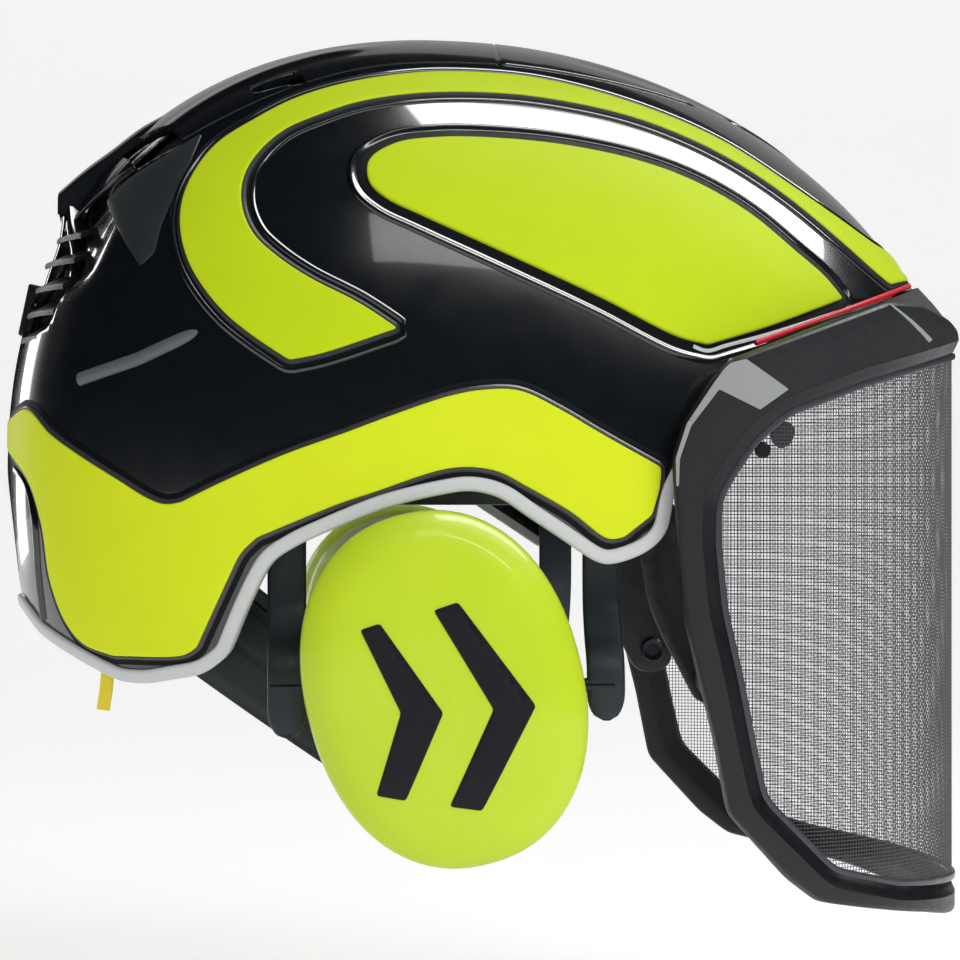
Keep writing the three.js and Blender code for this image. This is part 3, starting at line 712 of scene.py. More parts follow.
# Coloured panels lie in moulded beds. Round each runs a sloping lip, and outside it a black groove.
def panel_line(outline, apart=3.0):
    """An outline laid on the right side of the shell, kept clear of the middle plane."""
    line = from_side(rounded(outline, 1.2))
    line[:, 1] = np.minimum(line[:, 1], -apart)
    return turned_in(on_dome(resample(line, 0.9)))


PANEL_EDGE = [(-0.05, -0.6), (0.0, 0.9), (0.12, 1.2), (0.4, 1.4), (0.8, 1.48), (1.6, 1.5)]
for name, outline, skin in (
    ("upper_stripe", STRIPE, LIME), ("side_panel", TEARDROP, LIME), ("lower_panel", LOWER, LIME_LOW)
):
    v, f = patch(panel_line(outline, 4.5), PANEL_EDGE, "side", 3.0, crown=0.25)
    pair(name + "_face", v, f, skin, name, "shell", "lime_panel")

LIP = [(-1.55, -0.2), (-1.5, 0.35), (-1.3, 0.6), (-0.5, 1.1), (-0.25, 1.15), (-0.15, 0.9), (-0.12, -0.2)]
# The upper stripe's lip takes the dim grey painted reflection.
for name, outline, width, skin in (
    ("upper_stripe", STRIPE, 2.2, SHOULDER), ("lower_panel", LOWER, 3.2, BEZEL),
    ("side_panel", TEARDROP, 3.4, GLOSS)
):
    line = panel_line(outline, 4.5)
    if name != "side_panel":
        v, f = ribbon(line, LIP)
        pair(name + "_lip", v, f, skin, (), "shell", "gloss_black", angle=50)
    v, f = ribbon(line, [(-width, -0.3), (-width, 0.1), (-width + 0.3, 0.22), (-0.2, 0.22)])
    pair(name + "_groove", v, f, GROOVE, (), "shell", "gloss_black", angle=60)
# A broad piping of the shell stands round the side panel, with a thin edge that catches the light.
line = panel_line(TEARDROP, 4.5)
WIDE = [(-6.6, -0.4), (-6.5, 0.2), (-6.1, 0.8), (-5.4, 1.15), (-4.8, 1.0), (-4.3, 0.5), (-3.4, 0.2)]
v, f = ribbon(line, WIDE)
pair("side_panel_piping", v, f, GLOSS, (), "shell", "gloss_black", angle=70)
v, f = ribbon(panel_line(STRIPE, 4.5), [(-4.4, -0.3), (-4.2, 0.3), (-3.7, 0.75), (-3.1, 0.85), (-2.5, 0.5),
    (-2.2, 0.2)])
pair("upper_stripe_piping", v, f, GLOSS, (), "shell", "gloss_black", angle=70)

# ---- Edge trim and brow seal --------------------------------------------------------------------------
TRIM_SHAPE = [
    (0.3, -3.9), (0.0, -3.4), (-0.1, -1.5), (0.0, 0.7), (0.35, 1.25), (0.9, 1.5), (3.6, 1.5), (4.3, 1.2),
    (4.6, 0.6), (4.6, 0.1), (3.15, 0.03), (3.15, -3.2), (3.0, -3.9),
]


def trim_ends(count):
    """The end faces of a trim swept along count points."""
    return [tuple(i * count + end for i in range(len(TRIM_SHAPE))) for end in (0, count - 1)]


rim_line = from_side(RIM)
notch = from_dial(rim_line)
side_rim = rim_line[(RIM[:, 0] < 88.0) & ((notch > 31.6) | (RIM[:, 0] > -100)) & (rim_line[:, 1] < -3)]
side_rim = resample(side_rim, 1.3, closed=False)
v, f = ribbon(side_rim, TRIM_SHAPE, closed=False, ring=True)
f += trim_ends(len(side_rim))
pair("edge_trim_rubber", v, f, TRIM, "edge_trim", "shell", "grey_trim", angle=50)

brow = rim_line[(RIM[:, 0] > 93.0) & (rim_line[:, 1] < -0.5)]
brow = np.concatenate([brow, [from_side(np.array([[158.6, 66.3]]))[0] * [1, 0, 1]]])
brow = np.concatenate([brow, brow[-2::-1] * [1, -1, 1]])
brow = resample(on_dome(brow), 1.3, closed=False)
v, f = ribbon(brow, [(d * 0.4, h * 0.8) for d, h in TRIM_SHAPE], closed=False, ring=True)
f += trim_ends(len(brow))
piece("brow_seal_rubber", v, f, RED, "brow_seal", "shell", "red_seal", angle=50)
# A thin pale ridge above the seal is coloured as a painted highlight along the side panel's lower edge, and
# a ridge stands on the back of each side.
for name, points, shape, skin in (
    ("brow_line", [(72.1, 42.5), (75.4, 41.2), (77.6, 41.1), (82.6, 42.7), (95.6, 46.2), (108.4, 50.1),
        (124.4, 55.3)],
     [(-0.75, -0.2), (-0.6, 0.35), (0, 0.5), (0.6, 0.35), (0.75, -0.2)], TRIM),
    ("rear_ridge", [(-146.7, 3.4), (-142.5, -0.7), (-139.8, -10.1), (-138.8, -20.8), (-138.2, -31.6),
        (-136.8, -45.8)],
     [(-1.6, -0.3), (-1.3, 0.4), (-0.6, 1.1), (0, 1.3), (0.6, 1.1), (1.3, 0.4), (1.6, -0.3)], GLOSS),
):
    line = resample(on_dome(from_side(spline(points, 1.0))), 1.0, closed=False)
    v, f = ribbon(line, shape, closed=False)
    pair(name, v, f, skin, (), "shell", "gloss_black", angle=60)

# ---- Plain shapes -------------------------------------------------------------------------------------
def offset_line(line, d):
    """A closed 2-D outline moved inward by d."""
    t = frames(line)
    area = 0.5 * (line[:, 0] * np.roll(line[:, 1], -1) - np.roll(line[:, 0], -1) * line[:, 1]).sum()
    n = np.stack([-t[:, 1], t[:, 0]], -1) * (1 if area > 0 else -1)
    return line + n * d


def plate(outer, holes, place, outer_edge, hole_edge, spacing=4.0, lift=None):
    """A plate with holes. Each edge profile lists (inward distance, height) from the back face round to the
    front face. place maps 2-D points and heights to the frame. lift changes heights over the faces."""
    verts, faces = [], []
    total = 0
    rings = []
    for line, profile in [(outer, outer_edge)] + [(h, hole_edge) for h in holes]:
        sign = 1 if line is outer else -1
        rows = []
        for d, h in profile:
            flat = offset_line(line, sign * d)
            height = np.full(len(flat), float(h))
            if lift is not None:
                height = height + lift(flat) * (1 if h > 0 else 0)
            rows.append(place(flat, height))
        verts.append(np.concatenate(rows))
        faces += grid_faces(len(profile), len(line), close_columns=True, start=total)
        first = offset_line(line, sign * profile[0][0])
        last = offset_line(line, sign * profile[-1][0])
        rings.append((total, total + (len(profile) - 1) * len(line), first, last, len(line)))
        total += len(profile) * len(line)
    for pick, h in ((0, outer_edge[0][1]), (1, outer_edge[-1][1])):
        flats = [r[2 + pick] for r in rings]
        starts = [r[pick] for r in rings]
        inner = lattice(flats[0], spacing)
        good = edge_distance(inner, flats[0]) > spacing * 0.55
        for hole in flats[1:]:
            good &= edge_distance(inner, hole) < -spacing * 0.55
        inner = inner[good]
        points, edges, index = [], [], []
        for flat, start in zip(flats, starts):
            base = len(points)
            points += [Vector(p) for p in flat]
            edges += [(base + i, base + (i + 1) % len(flat)) for i in range(len(flat))]
            index += [start + i for i in range(len(flat))]
        ring_count = len(points)
        points += [Vector(p) for p in inner]
        out, _, tris, origin, _, _ = delaunay_2d_cdt(points, edges, [], 0, 1e-5)
        middle = np.array([[sum(out[i].x for i in t) / 3, sum(out[i].y for i in t) / 3] for t in tris])
        keep = edge_distance(middle, flats[0]) > -1e-3
        for hole in flats[1:]:
            keep &= edge_distance(middle, hole) < 1e-3
        known, extra = {}, []
        for i, source in enumerate(origin):
            ring = [k for k in source if k < ring_count]
            if ring:
                known[i] = index[ring[0]]
            else:
                known[i] = total + len(extra)
                extra.append((out[i].x, out[i].y))
        if extra:
            flat = np.array(extra)
            height = np.full(len(flat), float(h))
            if lift is not None and h > 0:
                height = height + lift(flat)
            verts.append(place(flat, height))
            total += len(extra)
        faces += [tuple(known[i] for i in t) for t, k in zip(tris, keep) if k]
    return np.concatenate(verts), faces


def flat_plate(outer, holes, low, high, soft, place, spacing=5.0):
    """A flat plate between two levels with rounded edges. place maps 2-D points and levels to the frame."""
    edge = [(soft, low), (soft * 0.3, low + soft * 0.3), (0, low + soft)]
    edge += [(0, high - soft), (soft * 0.3, high - soft * 0.3), (soft, high)]
    line = resample(outer, max(1.0, soft))
    return plate(line, [resample(h, 1.0) for h in holes], place, edge, edge, spacing)


def side_on(sign=-1):
    """Places a plate square to Y, with its levels as distances from the middle plane."""
    return lambda flat, height: np.stack([flat[:, 0], sign * height, flat[:, 1]], -1)


def lathe(profile, count, axis_point, axis, closed=True):
    """Turns a profile of (distance along the axis, radius) round the axis."""
    axis = np.asarray(axis, float) / np.linalg.norm(axis)
    side = np.cross(axis, [0, 0, 1.0]) if abs(axis[2]) < 0.9 else np.cross(axis, [1.0, 0, 0])
    side /= np.linalg.norm(side)
    up = np.cross(side, axis)
    angle = np.linspace(0, 2 * np.pi, count, endpoint=False)
    ring = np.cos(angle)[:, None] * side + np.sin(angle)[:, None] * up
    return stacked([np.asarray(axis_point) + axis * a + ring * r for a, r in profile], closed, closed)


def strip(path, side, section, closed=False):
    """Sweeps a closed section of (across, out) along a 3-D path. side is the across direction."""
    path = np.asarray(path, float)
    t = frames(path, closed)
    across_to = np.broadcast_to(np.asarray(side, float), path.shape)
    across_to = across_to - (across_to * t).sum(1, keepdims=True) * t
    across_to /= np.linalg.norm(across_to, axis=1, keepdims=True)
    out = np.cross(t, across_to)
    section = np.asarray(section, float)
    verts = (path[:, None] + across_to[:, None] * section[None, :, :1] + out[:, None] * section[None, :,
        1:]).reshape(-1, 3)
    faces = grid_faces(len(path), len(section), close_columns=True, close_rows=closed)
    if not closed:
        faces += end_caps(len(verts), len(section))
    return verts, faces


def bar_section(width, thick, soft, corner=3):
    """A rectangle with rounded corners, centred."""
    out = []
    for sx, sy, start in ((1, 1, 0), (-1, 1, 90), (-1, -1, 180), (1, -1, 270)):
        for k in range(corner + 1):
            a = math.radians(start + 90 * k / corner)
            out.append((sx * (width / 2 - soft) + soft * math.cos(a),
                sy * (thick / 2 - soft) + soft * math.sin(a)))
    return out


def merged(*parts):
    """Several meshes as one."""
    verts, faces, total = [], [], 0
    for v, f in parts:
        verts.append(np.asarray(v, float))
        faces += [tuple(i + total for i in face) for face in f]
        total += len(v)
    return np.concatenate(verts), faces


def box(x0, x1, y0, y1, z0, z1, soft=0.6, side=1):
    """A block with softened edges. With side -1 its y distances run to the wearer's right."""
    outline = rounded(np.array([(x0, z0), (x1, z0), (x1, z1), (x0, z1)], float), soft)
    verts, faces = flat_plate(outline, [], y0, y1, min(soft, (y1 - y0) / 2.5), side_on(1), spacing=50)
    return verts * [1, side, 1], faces


# ---- Visor --------------------------------------------------------------------------------------------
PIVOT = np.array([10.0, 5.0])
DRUM_X, DRUM_REACH, DRUM_HALF, DRUM_POWER = 70.0, 102.6, 113.0, 2.1
turn = np.linspace(0, np.radians(125), 900)
c, s = np.cos(turn), np.sin(turn)
reach = (np.abs(c / DRUM_REACH) ** DRUM_POWER + (s / DRUM_HALF) ** DRUM_POWER) ** (-1 / DRUM_POWER)
DRUM_PLAN = np.stack([DRUM_X + reach * c, reach * s], -1)
DRUM_S = np.concatenate([[0], np.cumsum(np.linalg.norm(np.diff(DRUM_PLAN, axis=0), axis=1))])
DRUM_T = np.gradient(DRUM_PLAN, axis=0)
DRUM_T /= np.linalg.norm(DRUM_T, axis=1, keepdims=True)


def on_drum(flat, height):
    """flat is [distance round from the front, z]: positive to the wearer's right."""
    s = np.abs(flat[:, 0])
    side = np.where(flat[:, 0] >= 0, -1.0, 1.0)
    x, y = (np.interp(s, DRUM_S, DRUM_PLAN[:, k]) for k in (0, 1))
    tx, ty = (np.interp(s, DRUM_S, DRUM_T[:, k]) for k in (0, 1))
    return np.stack([x + ty * height, side * (y - tx * height), flat[:, 1]], -1)


def round_front(points):
    """A closed outline in (round, z) from the right half's (x, z) points, front-top to front-bottom."""
    line = resample(np.asarray(points, float), 0.5, closed=False)
    order = np.argsort(DRUM_PLAN[:, 0])
    s = np.interp(line[:, 0], DRUM_PLAN[order, 0], DRUM_S[order])
    half = np.stack([s, line[:, 1]], -1)
    return np.concatenate([half, half[::-1][1:-1] * [-1, 1]])


FRAME_OUT = round_front([
    (172.59, 49.5), (162.8, 53.5), (148.2, 57.5), (134.5, 57.4), (90.5, 41), (82.7, 38), (75.9, 31),
    (67.5, 18), (64, 7), (66, -26), (68, -45), (76.8, -80), (81.7, -105), (101.3, -126), (112, -134),
    (153, -142), (172.59, -147.8),
])
FRAME_IN = round_front([
    (172.59, 43), (159.2, 39.5), (127.8, 30.8), (101.2, 21.2), (90.6, 12.3), (83.1, 1.6), (78.8, -6),
    (78.4, -18.9), (80.6, -40.9), (85.9, -64.2), (89.6, -83.4), (93.4, -100.5), (102.4, -109.7),
    (116.7, -124.1), (140.4, -130.5), (157.2, -132.7), (172.59, -134.7),
])


def front_draw(flat):
    """The ring stands out less across the front than at the sides."""
    return -(1 - smooth(np.abs(flat[:, 0]), 20, 110)) * np.where(flat[:, 1] < -20, 2.3, 0.9)


outer_edge = [(3.0, -3.5), (0.8, -3.3), (0.0, -2.4), (0.0, 1.6), (0.35, 2.6), (1.2, 3.3), (2.6, 3.5)]
hole_edge = [(6.0, -3.5), (5.2, -3.2), (1.4, -1.5), (0.0, -1.1), (0.0, 0.9), (1.0, 1.1), (1.3, 1.5),
    (5.0, 3.2), (5.5, 3.5)]
ring_line = resample(rounded(FRAME_OUT, 3.0), 1.6)
ring_hole = resample(rounded(FRAME_IN, 4.0), 1.6)
ring = plate(ring_line, [ring_hole], on_drum, outer_edge, hole_edge, 4.0, front_draw)
# A shelf reaches back from the ring's top to the brow.
order = np.argsort(DRUM_PLAN[:, 0])
TOP_EDGE = np.array([(90.5, 41), (134.5, 57.4), (148.2, 57.5), (162.8, 53.5), (172.6, 49.5)])
SHELF_RISE = 0.355
rows = []
for y in np.linspace(-98, 98, 99):
    near = DRUM_X + (DRUM_REACH + 1.2) * (1 - abs(y / (DRUM_HALF + 1.2)) ** DRUM_POWER) ** (1 / DRUM_POWER)
    near_z = np.interp(near, TOP_EDGE[:, 0], TOP_EDGE[:, 1])
    xs = np.linspace(near - 80, near, 400)
    level = dome_level(np.stack([xs, np.full(400, y), 41.3 + SHELF_RISE * (xs - 91)], -1), 2.4)
    inside = np.where(level < 1)[0]
    far = xs[inside[-1] + 1] if len(inside) and inside[-1] + 1 < 400 else near
    if near - far > 1.2:
        far_z = 41.6 + SHELF_RISE * (far - 91)
        share = np.linspace(0, 1, 9)
        rise = 1.1 * np.sin(np.pi * share) * smooth(near - far, 4, 12)
        top = [(far + (near - far) * t, y, far_z + (near_z - far_z) * t + h) for t, h in zip(share, rise)]
        rows.append(top + [(x, y0, z - 4.2) for x, y0, z in top[::-1]])
piece("visor_frame_ring", *merged(ring, stacked(rows)), SATIN, "visor_frame", "visor", "satin_black",
    angle=24)

# The slope round the opening is a darker, smoother moulding.
mouth = resample(rounded(FRAME_IN, 4.0), 1.2)
slope = []
for d, h in ((1.0, 1.12), (1.3, 1.55), (3.2, 2.48), (5.0, 3.26), (5.4, 3.5)):
    flat = offset_line(mouth, -d)
    slope.append(on_drum(flat, h + 0.06 + front_draw(flat)))
piece("visor_slope", np.concatenate(slope), grid_faces(5, len(mouth), close_columns=True), DARK, (),
    "visor", "satin_black")


def on_ring(points):
    """[x, z] points as [distance round, z] on the visor's right half."""
    points = np.asarray(points, float)
    return np.stack([np.interp(points[:, 0], DRUM_PLAN[order, 0], DRUM_S[order]), points[:, 1]], -1)


def above_ring(flat, height):
    """Places points over the visor ring's front face."""
    return on_drum(flat, height + 3.5 + front_draw(flat))


# At the upper corner a thin pale grey plate runs out down the rear edge: a painted highlight where the
# chamfer would catch the light. A fine pale line where the top turns is a painted highlight too.
for name, outline in (
    ("visor_corner_facet", [(76.4, 30.3), (79.8, 35.0), (81.8, 36.8), (86.6, 38.0), (100.0, 28.6),
        (90.9, 22.1), (78.2, 28.4), (69.6, 17.0), (66.1, 6.6), (65.8, -2.0), (65.0, -2.0), (64.8, 6.8),
        (68.2, 17.7)]),
    ("visor_crease", [(134.2, 56.6), (135.7, 56.3), (152.0, 46.0), (150.3, 45.0)]),
):
    line = resample(rounded(on_ring(outline), 0.4), 0.5)
    edge = [(0.1, -0.4), (0.0, 0.0), (0.0, 0.1), (0.1, 0.2)]
    pair(name, *plate(line, [], above_ring, edge, edge, 2.4), HIGHLIGHT_PAINT, (), "visor", "satin_black")
# A button and its tab clip the mesh in the upper corner.
button = lathe([(-1.6, 0.1), (-1.6, 2.2), (0.6, 2.6), (1.2, 2.0), (1.2, 0.1)], 28,
    on_drum(on_ring([(92.9, 9.4)]), np.zeros(1))[0], (0.1, -1, 0))
pair("visor_clip_button", *button, DARK, (), "visor", "satin_black")
line = resample(rounded(on_ring([(96.4, 17), (101.3, 19), (104.6, 17), (103.8, 12), (99.8, 9.5),
    (96.6, 12)]), 2.0), 0.8)
edge = [(0.3, -2.6), (0.0, -2.3), (0.0, -1.5), (0.3, -1.2)]
pair("visor_clip_tab", *plate(line, [], on_drum, edge, edge, 2.4), BEZEL, (), "visor", "satin_black")

# A thin rubber bead holds the mesh in the opening.
bead_line = resample(rounded(offset_line(resample(FRAME_IN, 2), 0), 4.0), 1.8)
BEAD = [(-1.0, 1.25), (0.1, 1.5), (0.9, 1.3), (1.1, 0.8), (-0.8, 0.8)]
bead_rows = [on_drum(offset_line(bead_line, d), np.full(len(bead_line), h)) for d, h in BEAD]
piece("visor_bead", np.concatenate(bead_rows), grid_faces(5, len(bead_line), close_columns=True,
    close_rows=True), BEZEL, (), "visor", "satin_black", angle=40)

# The mesh is woven from round wires that pass over and under one another.
PITCH, WIRE_R, CRIMP = 1.2, 0.15, 0.15
limit = resample(rounded(offset_line(resample(FRAME_IN, 2), -0.9), 4.0), 1.5)
s_max = float(limit[:, 0].max())
us = (np.arange(-int(s_max / PITCH) - 1, int(s_max / PITCH) + 2)) * PITCH
vs = np.arange(-116, 42) * PITCH
inside = edge_distance(np.array([(u, v) for u in us for v in vs]), limit).reshape(len(us), len(vs)) > 0
for upright in (True, False):
    verts, faces, total = [], [], 0
    lines = range(len(us)) if upright else range(len(vs))
    for i in lines:
        flags = inside[i] if upright else inside[:, i]
        run, ends = [], []
        for j, on in enumerate(list(flags) + [False]):
            if on:
                run.append(j)
            elif run:
                ends.append(run)
                run = []
        for run in ends:
            if len(run) < 2:
                continue
            j = np.array(run)
            lift = np.where((i + j) % 2 == 0, CRIMP, -CRIMP) * (1 if upright else -1)
            flat = np.stack([np.full(len(j), us[i]), vs[j]] if upright else [us[j], np.full(len(j), vs[i])],
                -1)
            rows = []
            for da, dh in ((0.87 * WIRE_R, -0.5 * WIRE_R), (0, WIRE_R), (-0.87 * WIRE_R, -0.5 * WIRE_R)):
                moved = flat + ([da, 0] if upright else [0, da])
                rows.append(on_drum(moved, lift + dh))
            tube = np.stack(rows, 1).reshape(-1, 3)
            verts.append(tube)
            faces += grid_faces(len(j), 3, close_columns=True, start=total)
            total += len(tube)
    name = "visor_mesh_warp" if upright else "visor_mesh_weft"
    piece(name, np.concatenate(verts), faces, WIRE, "visor_mesh", "visor", "mesh", angle=80)

ARM_NEAR, ARM_FAR, ARM_FROM, ARM_TO = 98.6, 88.8, 47.0, 57.0
ARM = runs(
    [(10, -5), (4, -2.5), (0.8, 2), (1, 8.5), (5, 13.5), (12, 15), (30, 12.5), (50, 7.8), (62, 0),
     (70, -14), (77, -34), (86.5, -57)],
    [(86.5, -57), (88.2, -63), (87, -69), (81, -72.3), (74.5, -70.5), (71.5, -66)],
    [(71.5, -66), (60, -42), (56, -24), (52.5, -10.5), (44, -4.5), (30, -3.8), (20, -4.4), (10, -5)],
)


def arm_place(flat, height):
    """Places the visor arm, which steps in towards the visor."""
    r = np.linalg.norm(flat - PIVOT, axis=1)
    y = ARM_NEAR + (ARM_FAR - ARM_NEAR) * np.clip((r - ARM_FROM) / (ARM_TO - ARM_FROM), 0, 1)
    return np.stack([flat[:, 0], -(y + height), flat[:, 1]], -1)


def arm_rib(flat):
    """A shallow channel runs down the middle of the arm."""
    away = np.linalg.norm(flat - PIVOT, axis=1)
    return -0.7 * smooth(edge_distance(flat, ARM), 3.2, 4.6) * smooth(away, 9, 13)


edge = [(0.8, 0.05), (0.2, 0.25), (0.0, 0.8), (0.0, 1.8), (0.25, 2.4), (0.9, 2.6)]
hole = superellipse(10, 5, 4.95, 4.95, 2, 40)
arm = plate(resample(ARM, 1.2), [hole], arm_place, edge, [(0.3, 0.05), (0.0, 0.3), (0.0, 2.3), (0.3, 2.6)],
    2.4, arm_rib)
boss = lathe([(0, 2.4), (0, 6.2), (1, 7), (17.6, 6.6), (18.4, 5.8), (18.4, 2.4)], 40, (80.6, -89.0, -63.6),
    (0, -1, 0), closed=False)
pair("visor_arm_moulding", *merged(arm, boss), SATIN, "visor_arm", "visor", "satin_black", angle=35)
screw_head = lathe([(0, 0.01), (0, 2.4), (0.9, 2.5), (1.2, 3.9), (0.5, 4.5), (-0.9, 4.5), (-1.1, 4.2),
    (-1.1, 0.01)], 32, (80.6, -87.0, -63.6), (0, 1, 0), closed=False)
screw_stem = lathe([(0, 2.0), (1, 2.0)] + [(1 + 0.5 * k, 1.85 if k % 2 else 2.0) for k in range(44)]
    + [(23.4, 1.6)], 20, (80.6, -88.2, -63.6), (0, -1, 0))
pair("visor_screw_turned", *merged(screw_head, screw_stem), STEEL, "visor_screw", "visor", "steel",
    angle=40)
stud = lathe([(0, 4.4), (9.0, 4.5), (9.6, 4.2)], 36, (10, -97.8, 5), (0, -1, 0))
head = lathe([(0, 0.01), (0, 3.0), (0.5, 3.4), (0.1, 6.9), (-0.4, 7.5), (-1.4, 7.5), (-1.8, 7.0),
    (-1.8, 0.01)], 40, (10, -96.4, 5), (0, 1, 0), closed=False)
pair("visor_pivot_stud", *merged(stud, head), STEEL, "visor_pivot", "shell", "steel", angle=40)

# ---- Ear defenders ------------------------------------------------------------------------------------
EAR_C, EAR_W, EAR_H, EAR_P = np.array([-8.0, -65.0]), 43.2, 56.0, 2.2
EAR_TILT = math.radians(-14.7)
CUP_SIDES = 112


def cup_ring(y, inset, count=CUP_SIDES):
    """The right cup's outline, drawn in by inset, at a distance y from the middle plane."""
    ring = superellipse(0, 0, EAR_W - inset, EAR_H - inset, EAR_P, count)
    u, v = ring[:, 0], ring[:, 1]
    x = EAR_C[0] + u * math.cos(EAR_TILT) + v * math.sin(EAR_TILT)
    z = EAR_C[1] - u * math.sin(EAR_TILT) + v * math.cos(EAR_TILT)
    return np.stack([x, np.full(count, -y), z], -1)


def cup_loft(sections, cap_first=True, cap_last=True, count=CUP_SIDES):
    """A solid through cup outlines given as (y, inset)."""
    return stacked([cup_ring(y, inset, count) for y, inset in sections], cap_first, cap_last)


CUP_SIDE = spline([(99.2, 6.2), (104, 5.4), (112, 3.6), (117, 0.9), (119.5, 0.0), (122.5, 0.15)], 0.8)
CUP_FACE = spline([(122.5, 0.15), (124.6, 0.75), (126.6, 2.6), (128.6, 5.2), (130.4, 9.0), (131.6, 14),
    (132.5, 21), (133.0, 29), (133.2, 38), (133.25, 43.1)], 1.0)
cup_out = np.concatenate([CUP_SIDE[:-1], CUP_FACE])
cup_in = np.array([(129.8, 30), (129.5, 16), (126, 5.5), (119, 3.4), (112, 7.2), (99.2, 8.8)])
CUP_FACE_RINGS = cup_out[:-1]
cup_rings = np.concatenate([cup_in, [(99.0, 7.5)], CUP_FACE_RINGS])
cup_verts, cup_faces = cup_loft(cup_rings, True, False)


def cap_grid(level, count=CUP_SIDES, inner=14):
    """Closes the cup's face with rings that shrink to a line and a smooth middle."""
    rows = []
    start = cup_ring(*level, count)
    middle = start.mean(0)
    for k in range(1, inner):
        t = 1 - k / inner
        ring = middle + (start - middle) * t
        ring[:, 1] = -np.interp(t, [0, 1], [133.4, level[0]])
        rows.append(ring)
    return rows


extra = cap_grid(CUP_FACE_RINGS[-1])
base = len(cup_verts)
cup_verts = np.concatenate([cup_verts] + extra + [np.array([[EAR_C[0], -133.4, EAR_C[1]]])])
cup_faces += grid_faces(len(extra) + 1, CUP_SIDES, close_columns=True, start=base - CUP_SIDES)
last = len(cup_verts) - 1
edge = last - CUP_SIDES
cup_faces += [(edge + i, edge + (i + 1) % CUP_SIDES, last) for i in range(CUP_SIDES)]
pair("ear_cup_shell", cup_verts, cup_faces, CUP, "ear_cup", "ear cup", "lime_cup", angle=40)


def cup_height(flat):
    """The cup's outer face at each [x, z], as a distance from the middle plane."""
    d = flat - EAR_C
    u = d[:, 0] * math.cos(EAR_TILT) - d[:, 1] * math.sin(EAR_TILT)
    v = d[:, 0] * math.sin(EAR_TILT) + d[:, 1] * math.cos(EAR_TILT)
    low, high = np.zeros(len(flat)), np.full(len(flat), EAR_W - 0.5)
    for _ in range(24):
        mid = (low + high) / 2
        out = np.abs(u / (EAR_W - mid)) ** EAR_P + np.abs(v / (EAR_H - mid)) ** EAR_P < 1
        low, high = np.where(out, mid, low), np.where(out, high, mid)
    return np.interp(low, CUP_FACE[:, 1], CUP_FACE[:, 0])


def on_cup(flat, height):
    """Points at a height over the cup's face."""
    return np.stack([flat[:, 0], -(cup_height(flat) + height), flat[:, 1]], -1)


CHEVRONS = {
    "chevron_rear": runs(
        [(-34.5, -46), (-22, -71.5)], [(-22, -71.5), (-29.5, -97)],
        [(-29.5, -97), (-20.5, -98.5)], [(-20.5, -98.5), (-9, -71.5)], [(-9, -71.5), (-28.5, -44)],
        [(-28.5, -44), (-34.5, -46)],
    ),
    "chevron_front": runs(
        [(-12, -40), (6.5, -70.5)], [(6.5, -70.5), (-7, -100.3)], [(-7, -100.3), (3, -101.7)],
        [(3, -101.7), (19.6, -69.5)], [(19.6, -69.5), (-4.5, -37.5)], [(-4.5, -37.5), (-12, -40)],
    ),
}
GRIP = finish("grip_black", (14, 18, 24), 0.5, rough=(900, 0.44, 0.6), grain=(3000, 2, 0.00003),
    specular=0.3)
for name, outline in CHEVRONS.items():
    line = resample(rounded(outline, 1.0), 0.9)
    edge = [(0.4, -0.6), (0.0, -0.2), (0.0, 0.28), (0.25, 0.45), (0.8, 0.5)]
    pair(name + "_grip", *plate(line, [], on_cup, edge, edge, 2.4), GRIP, name, "ear cup", "black_rubber",
        angle=50)

# The yoke: a bar on the swing hinge, and two legs that step out to the cup's pins.
LEG = spline([(-90.9, -4), (-90.4, -9), (-88.6, -13.5), (-88.0, -20), (-88.0, -34), (-89.4, -41),
    (-95, -50), (-101.5, -56.5), (-103.6, -61.5), (-104, -70), (-104, -76)], 1.5)


def leg(x0, x1, bottom):
    """One leg of the yoke between two x levels, rounded at its foot."""
    path = np.concatenate([LEG[:-1], [(-104, z) for z in np.linspace(-76, bottom, 9)]])
    middle = (x0 + x1) / 2
    full = bar_section(x1 - x0, 4.6, 1.4)
    line = np.stack([np.full(len(path), middle), path[:, 0], path[:, 1]], -1)
    verts, faces = strip(line, (1, 0, 0), full)
    width = verts[:, 0] - middle
    end = np.clip((verts[:, 2] - bottom) / 9.0, 0, 1)
    thin = np.sqrt(1 - (1 - end) ** 2) * 0.82 + 0.18
    verts[:, 0] = middle + width * thin
    grow = 0.62 + 0.38 * smooth(-verts[:, 2], 40, 60)
    line_y = np.interp(-verts[:, 2], -path[:, 1], path[:, 0])
    verts[:, 1] = line_y + (verts[:, 1] - line_y) * grow
    ridge = np.exp(-((verts[:, 0] - middle) / 2.2) ** 2) * (verts[:, 1] < line_y) * smooth(-verts[:, 2], 44,
        56)
    verts[:, 1] -= 0.5 * ridge
    return verts, faces


bar = box(-63, 50, 89.5, 92.3, -8, -1.6, 1.0, -1)
knuckles = []
for x0, x1 in ((-25, -17.5), (1.5, 9)):
    knuckles.append(lathe([(0, 2.1), (0, 3.9), (0.4, 4.2), (x1 - x0 - 0.4, 4.2), (x1 - x0, 3.9),
        (x1 - x0, 2.1), (0, 2.1)], 28, (x0, -92, 4), (1, 0, 0), closed=False))
    knuckles.append(box(x0, x1, 89.5, 92.5, -6, 1.5, 0.5, -1))
YOKE = finish("yoke_blue_black", (38, 45, 52), 0.4, tint=(40, (34, 41, 47), (42, 49, 56)),
    rough=(500, 0.34, 0.48), grain=(2600, 3, 0.00004), specular=0.4)
pair("ear_yoke_moulding", *merged(bar, leg(-63, -50.6, -81), leg(38, 50, -76), *knuckles), YOKE, "ear_yoke",
    "ear yoke", "satin_black", angle=35)
